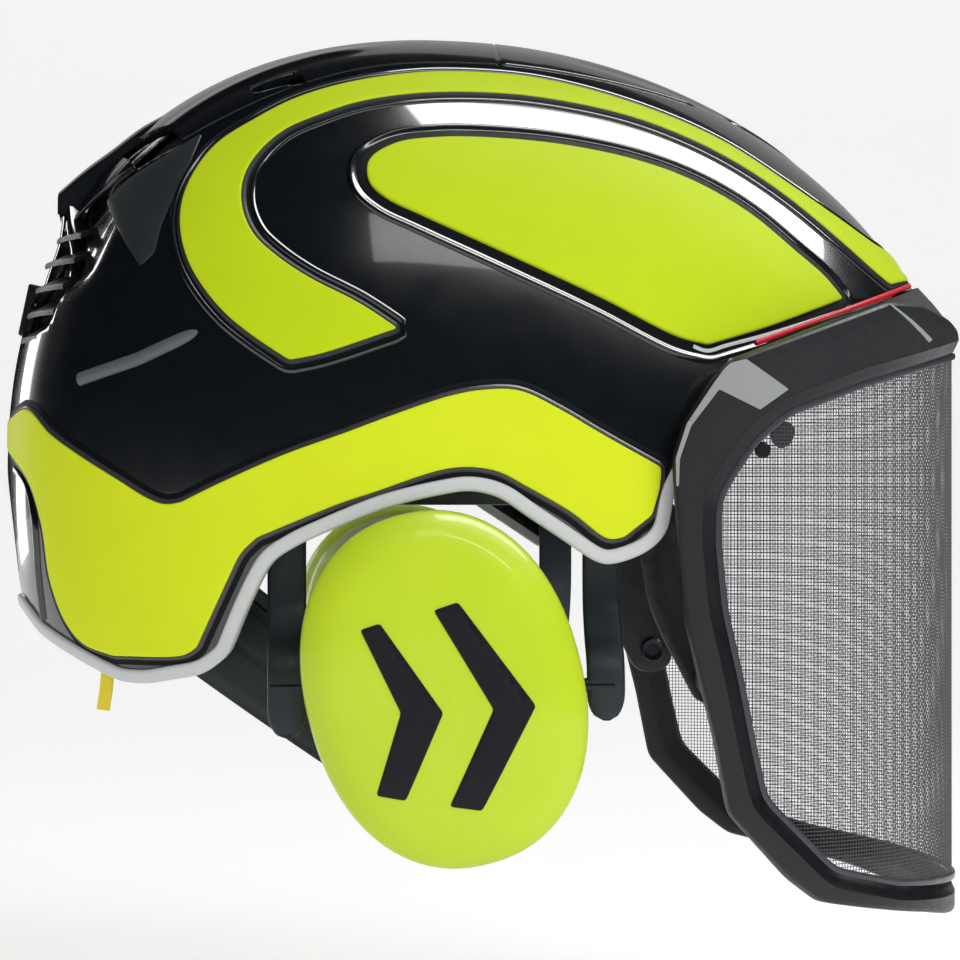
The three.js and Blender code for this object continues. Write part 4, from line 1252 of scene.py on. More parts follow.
for name, x0, x1 in (("cup_pin_rear", -62.5, -43.5), ("cup_pin_front", 27.5, 47)):
    turned = [(0, 1.6), (0.5, 2.4), (x1 - x0 - 0.5, 2.4), (x1 - x0, 1.6)]
    pair(name + "_turned", *lathe(turned, 24, (x0, -104, -65), (1, 0, 0)), STEEL, name, "ear yoke", "steel")
pair("ear_hinge_pin_turned", *lathe([(0, 1.2), (0.4, 1.75), (33.6, 1.75), (34, 1.2)], 24, (-25, -92, 4),
    (1, 0, 0)), STEEL, "ear_hinge_pin", "ear slider", "steel")
slider_plate = box(-17, 1, 89.9, 94.1, 7.6, 50, 0.8, -1)
teeth = [box(-15, -1, 93.9, 94.35, z, z + 2.0, 0.2, -1) for z in np.arange(14, 46, 4.0)]
barrel = lathe([(0, 2.1), (0, 3.8), (0.4, 4.2), (17.6, 4.2), (18, 3.8), (18, 2.1), (0, 2.1)], 28,
    (-17, -92, 4), (1, 0, 0), closed=False)
pair("ear_slider_moulding", *merged(slider_plate, *teeth, barrel), SATIN, "ear_slider", "ear slider",
    "satin_black")
walls = [box(*sides, 16, 57.6, soft, -1) for sides, soft in (
    ((-22, -17.5, 88, 95.4), 0.6), ((1.5, 6, 88, 95.4), 0.6), ((-18, 2, 88, 89.4), 0.3),
    ((-18, 2, 94.6, 95.4), 0.3))]
pair("ear_guide_moulding", *merged(*walls), SATIN, "ear_guide", "shell", "satin_black")

pair("ear_backplate_moulding", *merged(cup_loft([(96.0, 22), (96.0, 8.2), (96.4, 7.3), (97.2, 7.0),
    (98.0, 7.1), (98.7, 7.9), (98.7, 22), (96.0, 22)], False, False)), DARK, "ear_backplate", "ear cup",
    "black_rubber", angle=40)
foam = cup_loft([(101, 14.5), (102.5, 12.8), (108, 11.6), (114, 11.4), (115.6, 12.6), (116, 15)])
foam_verts = foam[0] + rng.normal(0, 0.12, foam[0].shape)
pair("ear_foam_insert", foam_verts, foam[1], FOAM, "ear_foam", "ear cup", "foam", angle=60)


def swollen(name, verts, faces, voxel, cap, pressure=4.0):
    """Cloth under pressure: the rest shape swells by at most cap and comes back as a finished mesh."""
    obj = bpy.data.objects.new(name, raw_mesh(name, verts, faces))
    scene = bpy.context.scene
    scene.collection.objects.link(obj)
    bpy.context.view_layer.objects.active = obj
    remesh = obj.modifiers.new("remesh", "REMESH")
    remesh.mode = "VOXEL"
    remesh.voxel_size = voxel / 1000
    depsgraph = bpy.context.evaluated_depsgraph_get()
    start = bpy.data.meshes.new_from_object(obj.evaluated_get(depsgraph))
    obj.modifiers.clear()
    obj.data = start
    rest = np.array([v.co for v in start.vertices])
    result = rest.copy()
    cloth = obj.modifiers.new("cloth", "CLOTH")
    cloth.settings.quality = 5
    cloth.settings.mass = 0.3
    cloth.settings.tension_stiffness = 12
    cloth.settings.compression_stiffness = 12
    cloth.settings.bending_stiffness = 0.4
    cloth.settings.use_pressure = True
    cloth.settings.uniform_pressure_force = pressure
    cloth.settings.effector_weights.gravity = 0
    cloth.point_cache.frame_start = 1
    cloth.point_cache.frame_end = 20
    for number in range(1, 21):
        scene.frame_set(number)
    after = obj.evaluated_get(bpy.context.evaluated_depsgraph_get()).to_mesh()
    result = np.array([v.co for v in after.vertices])
    scene.frame_set(1)
    obj.modifiers.clear()
    move = result - rest
    far = np.linalg.norm(move, axis=1, keepdims=True)
    result = rest + move * np.minimum(1, cap / 1000 / np.maximum(far, 1e-9))
    out = [tuple(p.vertices) for p in start.polygons]
    bpy.data.objects.remove(obj)
    return result * 1000, out


def soften(obj, levels=1):
    """Rounds a padded mesh off."""
    one = obj.modifiers.new("smooth", "SUBSURF")
    one.levels = one.render_levels = levels


# ---- Cushions of the ear cups --------------------------------------------------------------------------
def cushion():
    """A stuffed ring; the seams round its face and its side are added after it is made."""
    rows = [(83.4, 10.2, 20.0), (84.4, 8.6, 21.6), (93.2, 8.6, 21.6), (94.6, 9.6, 20.6)]
    count = 96
    section = [(y, o) for y, o, _ in rows] + [(y, i) for y, _, i in rows[::-1]]
    verts = np.concatenate([cup_ring(y, inset, count) for y, inset in section])
    faces = grid_faces(len(section), count, close_columns=True, close_rows=True)
    puffed, faces = swollen("cushion", verts, faces, 3.2, 1.1, 22)
    return puffed, faces


VINYL = finish("cushion_skin", (30, 33, 38), 0.5, rough=(700, 0.42, 0.58), grain=(1500, 4, 0.00012),
    specular=0.4)
puffed, puffed_faces = cushion()
for made in pair("ear_cushion_ring", puffed, puffed_faces, VINYL, "ear_cushion", "ear cup", "padding",
    angle=180):
    soften(made)
skin = BVHTree.FromPolygons([tuple(v) for v in puffed], puffed_faces)
for at in (84.6, 93.8):
    ring = np.array([skin.find_nearest(Vector(p))[0] for p in cup_ring(at, 8.0, 180)])
    for _ in range(3):
        ring = (np.roll(ring, 1, 0) + 2 * ring + np.roll(ring, -1, 0)) / 4
    verts, faces = strip(ring, (0, 1, 0), round_section(0.45, 6), closed=True)
    pair(f"ear_cushion_seam_{int(at)}", verts, faces, VINYL, (), "ear cup", "padding", angle=180)

# ---- Crown covers, scoop, louvres ---------------------------------------------------------------------
COVER_FRONT = rounded(runs([(14.6, -45.5), (50, -42), (80, -33), (108, -18), (122, -8)],
    [(122, -8), (124, 0), (122, 8)], [(122, 8), (108, 18), (80, 33), (50, 42), (14.6, 45.5)],
    [(14.6, 45.5), (14.6, -45.5)]), 2.0)
cover_edge = [(-0.05, -0.3), (0.0, 0.2), (0.15, 0.4), (0.5, 0.5), (1.2, 0.55)]
line = resample(on_dome(from_top(COVER_FRONT)), 1.6)


def crown_patch(line, edge, ridge):
    v, f = patch(line, edge, "top", 3.2)
    rise = ridge(v)
    return v + dome_normal(on_dome(v)) * rise[:, None], f


def front_ridge(v):
    y = np.abs(v[:, 1])
    side = smooth(y, 24, 26.5) * (1 - smooth(y, 31, 33.5)) * smooth(v[:, 0], 30, 60)
    return -0.8 * side * smooth(-np.abs(v[:, 0] - 80), -58, -46)


piece("crown_cover_front_skin", *crown_patch(line, cover_edge, front_ridge), GLOSS, "crown_cover_front",
    "shell", "gloss_black", angle=40)

COVER_REAR = rounded(runs([(13.7, 46), (13.7, -46)],
    [(13.7, -46), (-24, -51), (-60, -56), (-78, -56.5), (-91, -54.5), (-106, -48), (-118, -40),
    (-131, -28)], [(-131, -28), (-131, 28)], [(-131, 28), (-118, 40), (-106, 48), (-91, 54.5), (-78, 56.5),
    (-60, 56), (-24, 51), (13.7, 46)]), 2.0)
grid = np.array([(x, y) for x in np.arange(-136, 17, 1.5) for y in np.arange(-60, 60.1, 1.5)])
columns = len(np.arange(-60, 60.1, 1.5))
level = edge_distance(grid, COVER_REAR)
for window in WINDOWS:
    for flip in (1, -1):
        level = np.minimum(level, -edge_distance(grid * [1, flip], rounded(window, 2.0)))
top = from_top(grid)


def rear_relief(p):
    """Soft ribs run from the scoop down to the vents."""
    x, y = p[:, 0], np.abs(p[:, 1])
    rib = np.exp(-((y - 38 + 0.12 * (x + 60)) / 3.4) ** 2) * smooth(-x, 20, 44) * (1 - smooth(-x, 112, 128))
    return 0.8 * rib


top = top + dome_normal(top) * (0.5 + rear_relief(top))[:, None]
tris = []
for a, b, c, d in grid_faces(len(grid) // columns, columns):
    tris += [(a, b, c), (a, c, d)]
v, f = clip(top, tris, level)
cover = piece("crown_cover_rear_skin", v, f, GLOSS, "crown_cover_rear", "shell", "gloss_black", angle=50)
add_wall(cover, 0.0012)
add_edge(cover, 0.0005, 45)

SCOOP_TOP = spline([(-19, 150.4), (-30, 149.6), (-45, 147), (-60, 142.9), (-73, 137.6), (-85, 132),
    (-96, 126), (-106, 120.2), (-115, 113.3), (-125, 105.8), (-133.6, 98.3)], 1.6)
SCOOP_END = np.linspace([-133.6, 98.3], [-132.4, 93], 6)
rows = []
for x, z in np.concatenate([SCOOP_TOP, SCOOP_END[1:]]):
    half = np.interp(-x, [0, 60, 105, 140], [9, 16, 27, 27.5])
    row = []
    for k in np.linspace(-1, 1, 41):
        y = half * math.copysign(abs(k) ** 0.92, k)
        drop = 1.0 - 2.6 * abs(k) ** 8 - 1.2 * k * k
        row.append((x, y, z + drop - 1.0))
    rows.append(row)
scoop_grid = np.array(rows)
base = from_top(np.clip(scoop_grid[..., :2], [-128, -60], [200, 60])) + np.array([0, 0, 1.0])
low_edge = scoop_grid.copy()
low_edge[..., 2] = np.minimum(scoop_grid[..., 2] - 3.0, np.maximum(base[..., 2], scoop_grid[..., 2] - 14))
verts = np.concatenate([scoop_grid.reshape(-1, 3), low_edge.reshape(-1, 3)])
piece("crown_scoop", verts, slab_faces(*scoop_grid.shape[:2]), GLOSS, (), "shell", "gloss_black", angle=40)

# Ribs run down the back on either side of the louvred windows.
def spine(points, width, depth, square):
    """A bar that follows the back of the shell. points are (x, y, z)."""
    line = resample(spline(points, 1.5), 1.5, closed=False)
    normal = dome_normal(line)
    t = frames(line, closed=False)
    b = np.cross(t, normal)
    b /= np.linalg.norm(b, axis=1, keepdims=True)
    n = np.cross(b, t)
    shape = np.array([(-width / 2, -depth), (-width / 2, -square),
        (-width / 2 + square * 0.3, -square * 0.3), (-width / 2 + square, 0), (width / 2 - square, 0),
        (width / 2 - square * 0.3, -square * 0.3), (width / 2, -square), (width / 2, -depth)])
    v = (line[:, None] + b[:, None] * shape[None, :, :1] + n[:, None] * shape[None, :, 1:]).reshape(-1, 3)
    count = len(shape)
    f = grid_faces(len(line), count, close_columns=True)
    return v, f + end_caps(len(v), count)


BACK_LINE = np.array([(-20, 147.5), (0, 150), (14, 149.5), (25.8, 146.6), (32.1, 145.3), (38.4, 144.8),
    (42.3, 144.4), (51, 142.6), (60.4, 140.7), (66.7, 139.5), (72.2, 137.6), (78.5, 135.2), (85.6, 133.7),
    (92.6, 133.1)])
levels = (93, 86, 79, 72, 65, 58, 51, 42, 36, 30)
centre = [(0.2 - float(np.interp(z, BACK_LINE[:, 0], BACK_LINE[:, 1])), 0, z) for z in levels]
piece("back_spine", *spine(centre, 26, 7, 2.4), GLOSS, (), "shell", "gloss_black", angle=30)
rails = []
for flip in (1, -1):
    rails.append(spine([(-131, -24 * flip, 94), (-130, -31 * flip, 86), (-128, -37 * flip, 76),
        (-129, -43 * flip, 64), (-131, -47 * flip, 52), (-133, -49 * flip, 42)][:: 1 if flip > 0 else -1],
        4.2, 5, 1.2))
    rails.append(spine([(-117, -30 * flip, 99), (-117, -44 * flip, 84), (-117, -54 * flip, 69),
        (-119, -60 * flip, 56), (-122, -63 * flip, 45)] [:: 1 if flip > 0 else -1], 3.6, 4, 1.1))
piece("back_rails", *merged(*rails), GLOSS, (), "shell", "gloss_black", angle=30)

# On each shoulder the shell has a flat, coloured dim grey as a painted reflection, with a round bar below
# it, coloured mid grey as a painted highlight.
SHOULDER_FLAT = [(-116, 92), (-108.8, 99.2), (-98, 105.5), (-84.5, 113.6), (-88, 104), (-92.3, 94.5),
    (-97.4, 82.2), (-99.5, 73), (-103.9, 69.1), (-108.7, 76.6), (-112.9, 84.8)]
line = on_dome(resample(from_side(rounded(np.array(SHOULDER_FLAT, float), 1.0)), 1.0))
v, f = patch(line, [(-0.3, -0.2), (0.0, 0.3), (0.5, 0.5)], "side", 3.0)
pair("shoulder_flat", v, f, SHOULDER, (), "shell", "gloss_black", angle=25)
line = on_dome(resample(from_side(rounded(np.array([(-123.6, 32.6), (-104.3, 38.6), (-85, 47.2)], float),
    1.0, closed=False)), 1.2, closed=False))
taper = np.sqrt(np.clip(1 - (np.linspace(0, 1, len(line)) * 1.02 - 0.02) ** 14, 0.02, 1))
shape = [(-2.3, -0.3), (-2.1, 0.5), (-1.3, 1.25), (0, 1.55), (1.3, 1.25), (2.1, 0.5), (2.3, -0.3)]
out = dome_normal(line)
side = across(line, closed=False)
rows = [line + side * (d * taper)[:, None] + out * (h * taper)[:, None] for d, h in shape]
pair("shoulder_bar", np.concatenate(rows), grid_faces(7, len(line)), BAR_HIGHLIGHT_PAINT, (), "shell", "gloss_black",
    angle=60)



def shell_back(y, z, start=-140.0, height=0.0, turns=7):
    """The point of the shell's back at that y and z, found in a few turns."""
    p = np.array([start, y, z])
    for _ in range(turns):
        p = np.array([on_dome(p, height)[0], y, z])
    return p


louvre_parts = []
for z in (47, 55.5, 64, 72.5, 81):
    y = np.linspace(-50, -13, 26)
    wide = edge_distance(np.stack([y, np.full(26, z)], -1), BACK_WINDOW) > -1.5
    y = y[wide]
    row_out, row_in = [], []
    for yy in y:
        p = shell_back(yy, z)
        n = dome_normal(p)
        row_out.append(p - n * 0.2)
        row_in.append(p - n * 6.5 + np.array([0, 0, 5.0]))
    row_out, row_in = np.array(row_out), np.array(row_in)
    thick = np.array([0, 0, 0.9])
    rows = [row_out - thick, row_out + np.array([-0.3, 0, 0]), row_out + thick, row_in + thick,
        row_in - thick]
    v = np.concatenate(rows)
    f = grid_faces(5, len(y), close_rows=True)
    f.append(tuple(i * len(y) for i in range(5)))
    f.append(tuple(i * len(y) + len(y) - 1 for i in range(5))[::-1])
    louvre_parts.append((v, f))
# A fine screen backs the louvres.
screen = []
for y in np.arange(-50, -14, 3.0):
    z = np.linspace(42, 88, 24)
    flags = edge_distance(np.stack([np.full(24, y), z], -1), BACK_WINDOW) > -0.5
    z = z[flags]
    if len(z) < 3:
        continue
    line = []
    for zz in z:
        p = shell_back(y, zz, turns=6)
        line.append(p - dome_normal(p) * 7.5)
    screen.append(strip(np.array(line), (0, 1, 0), bar_section(0.9, 1.2, 0.3, 2)))
pair("rear_louvres", *merged(*louvre_parts, *screen), DARK, "rear_grille", "shell", "satin_black", angle=30)


def label_place(flat, height):
    """Places a plate on the label's face, which leans forward by 12 degrees."""
    lean, level = 0.2079, 0.9781
    x = -140.4 - height * level + flat[:, 1] * lean
    return np.stack([x, flat[:, 0], 57 + height * lean + flat[:, 1] * level], -1)


LABEL = rounded(np.array([(-12, -9), (12, -9), (12, 9), (-12, 9)], float), 1.5)
label = flat_plate(LABEL, [], -6.0, 6.0, 0.6, label_place)
piece("label_pad_raised", *label, DARK, (), "shell", "gloss_black", angle=30)

# ---- Impact liner and head suspension -----------------------------------------------------------------
verts, tris = dome_grid(200, 60)
verts = on_dome(verts, -17.0)
verts, tris = clip(verts, tris, verts[:, 2] - 58.2)
for window in WINDOWS:
    for flip in (1, -1):
        reach = -edge_distance(verts[:, :2] * [1, flip], rounded(window, 2.0))
        verts, tris = clip(verts, tris, reach)
along = verts[:, 0]
channel = np.zeros(len(verts))
for at in (-34, 0, 34):
    channel = np.maximum(channel, 1 - smooth(np.abs(verts[:, 1] - at), 3.5, 6.5))
channel = np.maximum(channel, 1 - smooth(np.abs(along + 10), 3.5, 6.5))
verts = verts + dome_normal(verts, -17.0) * (2.4 * channel * smooth(verts[:, 2], 66, 74))[:, None]
foam_liner = piece("liner_beads", verts, tris, LINER, "impact_liner", "shell", "liner", angle=50)
add_wall(foam_liner, 0.0098, 1)

HX, HZ, HA, HB, HR = -14.0, 48.0, 98.0, 78.0, 72.0


def ellipse(a, b, start, end, count):
    angle = np.radians(np.linspace(start, end, count))
    return np.stack([HX + a * np.cos(angle), b * np.sin(angle)], -1)


ring = ellipse(HA - 1.1, HB - 1.1, 0, 360, 181)[:-1]
band_line = np.concatenate([ring, np.full((len(ring), 1), 40.0)], 1)
band = strip(band_line, (0, 0, 1), bar_section(27.6, 2.2, 1.0), closed=True)
parts = [band]
for degrees in (40, 135, 225, 320):
    a = math.radians(degrees)
    u = np.array([math.cos(a), math.sin(a)])

    def reach_to(h, z):
        t = np.linspace(40, 160, 600)
        p = np.stack([CX + u[0] * t, u[1] * t, np.full(600, z)], -1)
        return float(t[np.argmax(dome_level(p, h) > 1)])

    inner = np.linspace(60, 110, 400)
    level = ((CX + u[0] * inner - HX) / (HA - 1)) ** 2 + (u[1] * inner / (HB - 1)) ** 2
    near = float(inner[np.argmax(level > 1)])
    far = reach_to(-9.5, 56) - 1.0
    path = [(near, 52), (near + 3, 52), (far - 3, 52), (far - 0.8, 52.8), (far, 55), (far, 57.4)]
    path = spline(path, 1.0)
    line = np.stack([CX + u[0] * path[:, 0], u[1] * path[:, 0], path[:, 1]], -1)
    parts.append(strip(line, (-u[1], u[0], 0), bar_section(14, 3.0, 1.0)))
BAND = finish("band_plastic", (40, 43, 46), 0.5, rough=(500, 0.44, 0.6), specular=0.35)
piece("headband_moulding", *merged(*parts), BAND, "headband", "shell", "satin_black", angle=35)


def head_point(angle, z, grow):
    a = math.radians(angle)
    return (HX + (HA + grow) * math.cos(a), (HB + grow) * math.sin(a), z)


def pad_block(angles, z_low, z_high, inner, outer, place, steps=(20, 8)):
    """A closed block bent round the head: columns over the angles, rows over the heights."""
    na, nz = steps
    verts = []
    for grow in (outer, inner):
        for z in np.linspace(z_low, z_high, nz):
            for a in np.linspace(angles[0], angles[1], na):
                verts.append(place(a, z, grow))
    return np.array(verts), slab_faces(nz, na)


v, f = swollen("forehead", *pad_block((-24.5, 24.5), 31, 49, -7.6, -3.6, head_point), 2.6, 1.4)
channels = np.zeros(len(v))
for at in (-18, 0, 18):
    channels = np.maximum(channels, np.exp(-((v[:, 1] - at) / 1.3) ** 2))
inward = np.stack([(v[:, 0] - HX) / HA**2, v[:, 1] / HB**2, np.zeros(len(v))], -1)
inward /= np.linalg.norm(inward, axis=1, keepdims=True)
facing = smooth(1 - np.sqrt(((v[:, 0] - HX) / (HA - 5.6)) ** 2 + (v[:, 1] / (HB - 5.6)) ** 2), 0, 0.012)
v = v + inward * (1.3 * channels * facing)[:, None]
brow_pad = piece("forehead_pad_stuffed", v, f, PADDING, "forehead_pad", "shell", "padding", angle=180)
soften(brow_pad)

parts = []
for degrees in (42, -42, 90):
    a = math.radians(degrees)
    u = np.array([math.cos(a), math.sin(a)])
    half = 1 / math.sqrt((u[0] / (HA - 3.4)) ** 2 + (u[1] / (HB - 3.4)) ** 2)
    turn_to = np.radians(np.linspace(-2, 182, 121))
    path = np.stack([HX + u[0] * half * np.cos(turn_to), u[1] * half * np.cos(turn_to),
        HZ + (HR - 3.4) * np.sin(turn_to)], -1)
    parts.append((path, (-u[1], u[0], 0)))
piece("crown_webbing", *merged(*[strip(p, s, bar_section(19.6, 1.3, 0.55)) for p, s in parts]), WEBBING,
    "crown_straps", "shell", "webbing", angle=50)
stitches = []
for path, side in parts:
    side = np.array(side)
    centre_to = np.array([HX, 0, HZ])
    for off in (-8.2, 8.2):
        for k in range(2, len(path) - 3, 2):
            p, q = path[k] + side * off, path[k + 1] + side * off
            out = (p - centre_to) / np.linalg.norm(p - centre_to)
            line = np.stack([p - out * 0.62, (p + q) / 2 - out * 0.95, q - out * 0.62])
            stitches.append(strip(line, side, round_section(0.22, 5)))
THREAD = finish("thread", (96, 100, 104), 0.7, grain=(4000, 2, 0.00003), sheen=0.2)
piece("crown_stitching", *merged(*stitches), THREAD, (), "shell", "webbing", angle=80)


def crown_point(u, v2, grow):
    x, y = 33.5 * u, 27.5 * v2
    a, b, r = HA + grow, HB + grow, HR + grow
    return (HX + x, y, HZ + r * math.sqrt(1 - (x / a) ** 2 - (y / b) ** 2))


grid_n = 15
verts = []
lin = np.linspace(-1, 1, grid_n)
for grow in (-5.2, -9.4):
    for v2 in lin:
        for u in lin:
            verts.append(crown_point(u * math.sqrt(1 - v2 * v2 / 2), v2 * math.sqrt(1 - u * u / 2), grow))
v, f = swollen("crown", verts, slab_faces(grid_n, grid_n), 3.4, 1.3)
quilt = np.maximum(np.exp(-((v[:, 1]) / 1.4) ** 2), np.exp(-((v[:, 0] - HX) / 1.4) ** 2))
below = v[:, 2] < HZ + (HR - 7.3) * np.sqrt(np.clip(1 - ((v[:, 0] - HX) / HA) ** 2 - (v[:, 1] / HB) ** 2,
    0.1, 1))
v[:, 2] += 1.4 * quilt * below
top_pad = piece("crown_pad_quilted", v, f, PADDING, "crown_pad", "shell", "padding", angle=180)
soften(top_pad)

# ---- Nape bands, dial and tab -------------------------------------------------------------------------
NX, NR, PZ = -38.0, 76.0, -24.0 + (-38.0 - 76.0 + 147.0) * math.tan(math.radians(10))


def nape_point(angle, z, radius):
    a = math.radians(angle)
    return (NX + radius * math.cos(a), radius * math.sin(a), z)


def band_edges(x, level):
    """The band's lower and upper edge at a place x on its own side."""
    near, far = PZ + level * 5, PZ + level * 15
    low, high = min(near, far), max(near, far)
    top = np.interp(x, [-114, -104, -100.5, -92, -38],
        [high, high, -18 if level < 0 else -12, -18.5, -63.5])
    bottom = np.interp(x, [-114, -106, -103, -98, -38], [low, low, low - 8, -56, -96.5])
    return bottom, top


TOOTH = ((-0.8, 0), (0.8, 0), (0.35, 1.5), (-0.35, 1.5))
BLOCK = [(0, 1, 2, 3), (7, 6, 5, 4), (0, 4, 5, 1), (1, 5, 6, 2), (2, 6, 7, 3), (3, 7, 4, 0)]
for level, side, flip in ((1, "right", -1), (-1, "left", 1)):
    rows = []
    angles = np.concatenate([np.linspace(180 + 7.5 * flip, 180, 5)[:-1],
        np.linspace(180, 180 - 89 * flip, 110)])
    for a in angles:
        x = NX + NR * math.cos(math.radians(a))
        own = (a - 180) * -flip >= 0
        low, high = band_edges(x, level) if own else (min(PZ + level * 5, PZ + level * 15),
            max(PZ + level * 5, PZ + level * 15))
        row = []
        for k, grow in [(0.03, -1.1), (0.0, -0.6), (0.0, 0.7), (0.012, 1.1)] + [(t, 1.1)
            for t in np.linspace(0.04, 0.96, 22)] + [
                (0.988, 1.1), (1.0, 0.7), (1.0, -0.6), (0.97, -1.1)] + [(t, -1.1)
                for t in np.linspace(0.94, 0.06, 10)]:
            z = low + (high - low) * k
            wide = high - low
            r = NR + grow
            if grow > 1.0 and wide > 18:
                edge_band = min(k, 1 - k) * wide
                panel = smooth(edge_band, 3.0, 3.8) * (1 - 0.9
                    * (1 - smooth(abs(k - 0.52) * wide, 0.9, 1.6)))
                r += 0.5 * panel * smooth(wide, 18, 26)
            row.append(nape_point(a, z, r))
        rows.append(row)
    count = len(rows[0])
    v = np.array(rows).reshape(-1, 3)
    f = grid_faces(len(rows), count, close_columns=True)
    f += end_caps(len(v), count)
    parts = [(v, f)]
    for k in range(-3, 13):
        a = 180 - k * 2.2 * flip
        z = PZ + level * 5.1
        tooth = [nape_point(a + da, z - level * dz, NR + dr) for dr in (-1.0, 1.0) for da, dz in TOOTH]
        parts.append((np.array(tooth), BLOCK))
    piece(f"nape_band_{side}_moulding", *merged(*parts), NAPE, f"nape_band_{side}", f"nape band {side}",
        "satin_black", angle=40)

    def pad_place(a, t, radius):
        x = NX + radius * math.cos(math.radians(a))
        low = np.interp(x, [-101, -42], [-46.5, -88.5])
        high = np.interp(x, [-101, -42], [-20.5, -70.5])
        return nape_point(a, low + (high - low) * t, radius)

    first, last = 180 - 36 * flip, 180 - 84 * flip
    v, f = swollen(f"nape_{side}", *pad_block((first, last), 0.0, 1.0, 69.4, 73.6, pad_place, (26, 9)), 2.8,
        1.2)
    rib = np.zeros(len(v))
    around = np.degrees(np.arctan2(v[:, 1], v[:, 0] - NX))
    for share in (0.25, 0.5, 0.75):
        at = (first + (last - first) * share + 180) % 360 - 180
        rib = np.maximum(rib, np.exp(-((around - at) / 1.1) ** 2))
    radius = np.hypot(v[:, 0] - NX, v[:, 1])
    push = 1.3 * rib * smooth(71.6 - radius, 0, 1.0)
    v[:, 0] += (v[:, 0] - NX) / radius * push
    v[:, 1] += v[:, 1] / radius * push
    nape_pad = piece(f"nape_pad_{side}_stuffed", v, f, PADDING, f"nape_pad_{side}", f"nape band {side}",
        "padding", angle=180)
    soften(nape_pad)

case = []
for low, high, inner, outer in ((-19.8, 19.8, 77.9, 79.4), (-19.8, 19.8, 72.8, 74.2)):
    rows = []
    for a in np.linspace(180 - 17.5, 180 + 17.5, 30):
        r = NR - 76 + (inner + outer) / 2
        rows.append(nape_point(a, PZ, r))
    case.append(strip(np.array(rows), (0, 0, 1), bar_section(39.6, outer - inner, 0.6)))
for z in (PZ + 18.2, PZ - 18.2):
    rows = [nape_point(a, z, 76.1) for a in np.linspace(180 - 17.5, 180 + 17.5, 30)]
    case.append(strip(np.array(rows), (0, 0, 1), bar_section(3.2, 5.2, 0.6)))
bracket = []
for y in np.linspace(-46, 46, 47):
    back = shell_back(y, PZ + 19.2, -146.0, -3.6, 8)[0] + 0.2
    near = NX - math.sqrt(max(78.6**2 - y * y, 1))
    bracket.append([(back, y, PZ + 20.9), (back, y, PZ + 17.6), (near, y, PZ + 17.6), (near, y, PZ + 20.9)])
v = np.array(bracket).reshape(-1, 3)
f = grid_faces(len(bracket), 4, close_columns=True) + end_caps(len(v), 4)
case.append((v, f))
piece("dial_housing_moulding", *merged(*case), DARK, "dial_housing", "shell", "satin_black", angle=35)



def dial_ring(depth, radius, angle):
    """Points round the dial's axis at a depth behind its face."""
    side = np.array([0, 1.0, 0])
    up = np.cross(DIAL_AXIS, side)
    round_axis = np.cos(angle)[:, None] * side + np.sin(angle)[:, None] * up
    return DIAL_FACE + DIAL_AXIS * depth + radius[:, None] * round_axis


angle = np.linspace(0, 2 * np.pi, 216, endpoint=False)
grip = 0.5 + 0.5 * np.cos(angle * 18)
rows = []
for depth, radius, ribbed in ((11, 6, 0), (11, 24, 0), (10.4, 26.4, 0.4), (9.4, 27.4, 1), (2.4, 27.6, 1),
    (1.2, 27.0, 1), (0.3, 25.6, 0.5), (0.0, 24.0, 0), (0.0, 21.5, 0), (0.7, 20.6, 0), (1.0, 19.0, 0),
    (1.0, 9.0, 0), (0.4, 8.2, 0), (0.1, 7.2, 0), (0.1, 1.0, 0)):
    rows.append(dial_ring(depth, radius - 1.5 * ribbed * grip**2, angle))
piece("fit_dial_knob", *stacked(rows), RUBBER, "fit_dial", "dial", "black_rubber", angle=35)
angle = np.linspace(0, 2 * np.pi, 96, endpoint=False)
r = 3.9 + 0.55 * np.clip(1.6 * np.cos(angle * 12), -1, 1)
rows = [dial_ring(d, r * k, angle) for d, k in ((11.3, 0.9), (11.8, 1), (34, 1), (34.5, 0.9))]
piece("dial_pinion_gear", *stacked(rows), STEEL, "dial_pinion", "dial", "steel", angle=40)

tab_path = spline([(-112.9, -53.8, -50.5), (-114.0, -53.8, -57), (-115.4, -53.9, -63), (-116.0, -53.8, -69),
    (-117.0, -53.7, -75.6)], 0.8)
piece("pull_tab_webbing", *strip(tab_path, (0.97, 0, 0.25), bar_section(4.4, 0.9, 0.4)), YELLOW, "pull_tab",
    "shell", "yellow_webbing", angle=50)


# ---- Camera, stage and light --------------------------------------------------------------------------
camera = bpy.data.objects.new("camera", bpy.data.cameras.new("camera"))
bpy.context.scene.collection.objects.link(camera)
camera.data.lens = 124.2
camera.data.sensor_width = 36
camera.location = (-0.0598, -1.1479, 0)
camera.rotation_euler = (math.radians(90), 0, math.radians(-3.5))
bpy.context.scene.camera = camera

bpy.context.scene.view_settings.view_transform = "Standard"

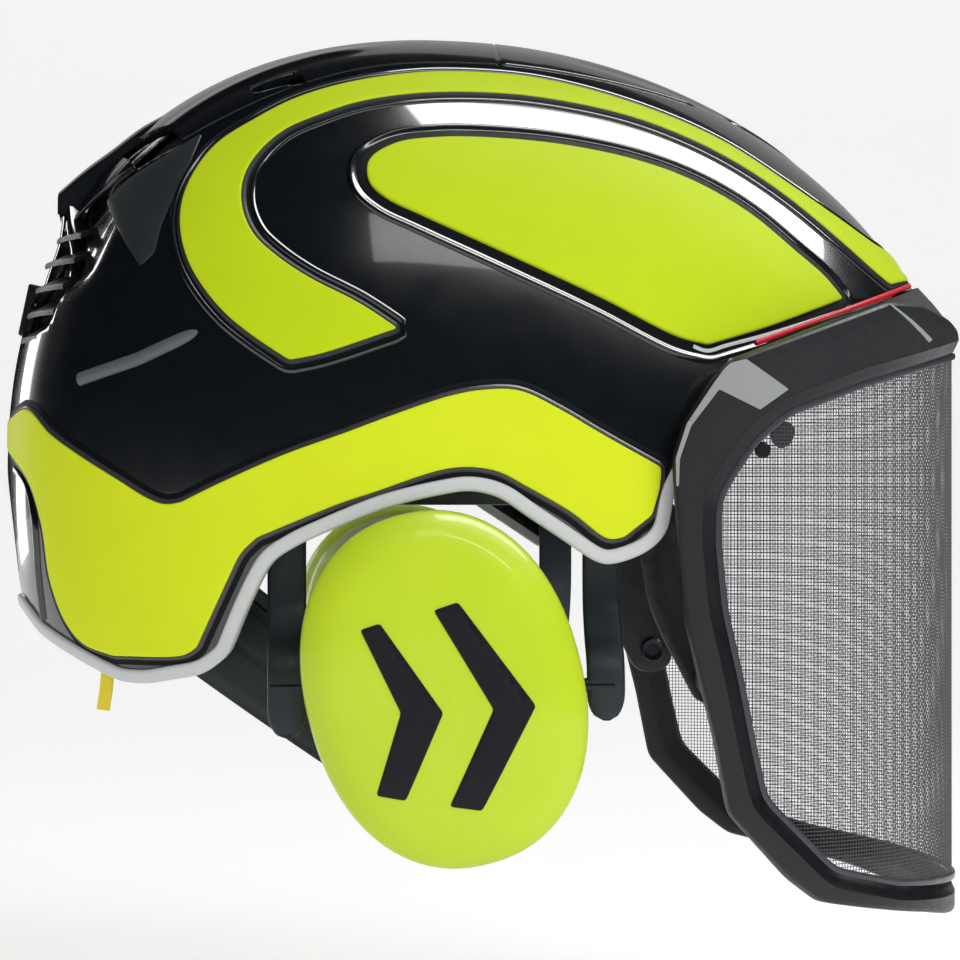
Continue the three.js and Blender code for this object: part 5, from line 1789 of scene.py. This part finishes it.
FLOOR = material("floor", (0.9, 0.9, 0.9, 1), 0.9, specular=0.1)
shader = FLOOR.node_tree.nodes["Principled BSDF"]
shader.inputs["Emission Color"].default_value = (1, 1, 1, 1)
shader.inputs["Emission Strength"].default_value = 0.3
for name, profile, mirrored_in in (
    ("floor", [(-6, 0), (1.6, 0), (2.0, 0.05)], True),
    ("backdrop", [(2.0, 0.05), (2.4, 0.25), (2.7, 0.6), (2.8, 1.2), (2.8, 6)], False),
):
    verts = [(x, y, z - 0.2) for x in (-7, 7) for y, z in profile]
    mesh = bpy.data.meshes.new(name)
    mesh.from_pydata(verts, [], grid_faces(2, len(profile)))
    mesh.shade_smooth()
    ground = bpy.data.objects.new(name, mesh)
    bpy.context.scene.collection.objects.link(ground)
    mesh.materials.append(FLOOR)
    ground.visible_glossy = mirrored_in
    ground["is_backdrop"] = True


def softbox(name, where, width, height, power, along=(1, 0, 0), lights=True, mirrored=True):
    """A rectangular lamp facing the helmet, its width along the given direction. It can be left out of
    mirror images, or give no light and only be mirrored."""
    data = bpy.data.lights.new(name, "AREA")
    data.shape = "RECTANGLE"
    data.size, data.size_y = width, height
    data.energy = power
    lamp = bpy.data.objects.new(name, data)
    bpy.context.scene.collection.objects.link(lamp)
    out = Vector(where).normalized()
    level = Vector(along)
    level = (level - level.dot(out) * out).normalized()
    turn = Matrix((level, out.cross(level), out)).transposed()
    lamp.matrix_world = Matrix.Translation(where) @ turn.to_4x4()
    lamp.visible_camera = False
    lamp.visible_diffuse = lights
    lamp.visible_glossy = mirrored
    return lamp


softbox("key", (1.3, -1.5, 1.1), 1.1, 1.1, 21, mirrored=False)
softbox("fill", (-0.4, -2.2, 0.1), 1.8, 1.2, 7, mirrored=False)
softbox("top", (0.9, 0.1, 1.6), 1.2, 0.8, 5, mirrored=False)
softbox("crown_strip", (0.75, 0.03, 1.47), 1.53, 0.62, 37, along=(1.29, 0.35, -0.73), lights=False)
softbox("side_patch", (0.04, -1.17, 1.26), 0.47, 0.38, 1.8, lights=False)
softbox("side_strip", (0.62, -1.22, 0.96), 0.84, 0.12, 2.7, along=(0.73, 0.05, -0.41), lights=False)
softbox("rear_tall", (-1.25, 1.35, 0.25), 0.4, 1.0, 5, along=(0.7, 0.7, 0), lights=False)
softbox("back_card", (0.2, 2.1, 1.1), 3.0, 1.6, 5, lights=False)
world = bpy.data.worlds.new("world")
bpy.context.scene.world = world
world.use_nodes = True
world.node_tree.nodes["Background"].inputs["Color"].default_value = (1, 1, 1, 1)
world.node_tree.nodes["Background"].inputs["Strength"].default_value = 0.42
world.cycles_visibility.glossy = False

low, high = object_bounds()
{"cad": [list(cad_low), list(cad_high)], "visual": [list(low), list(high)]}
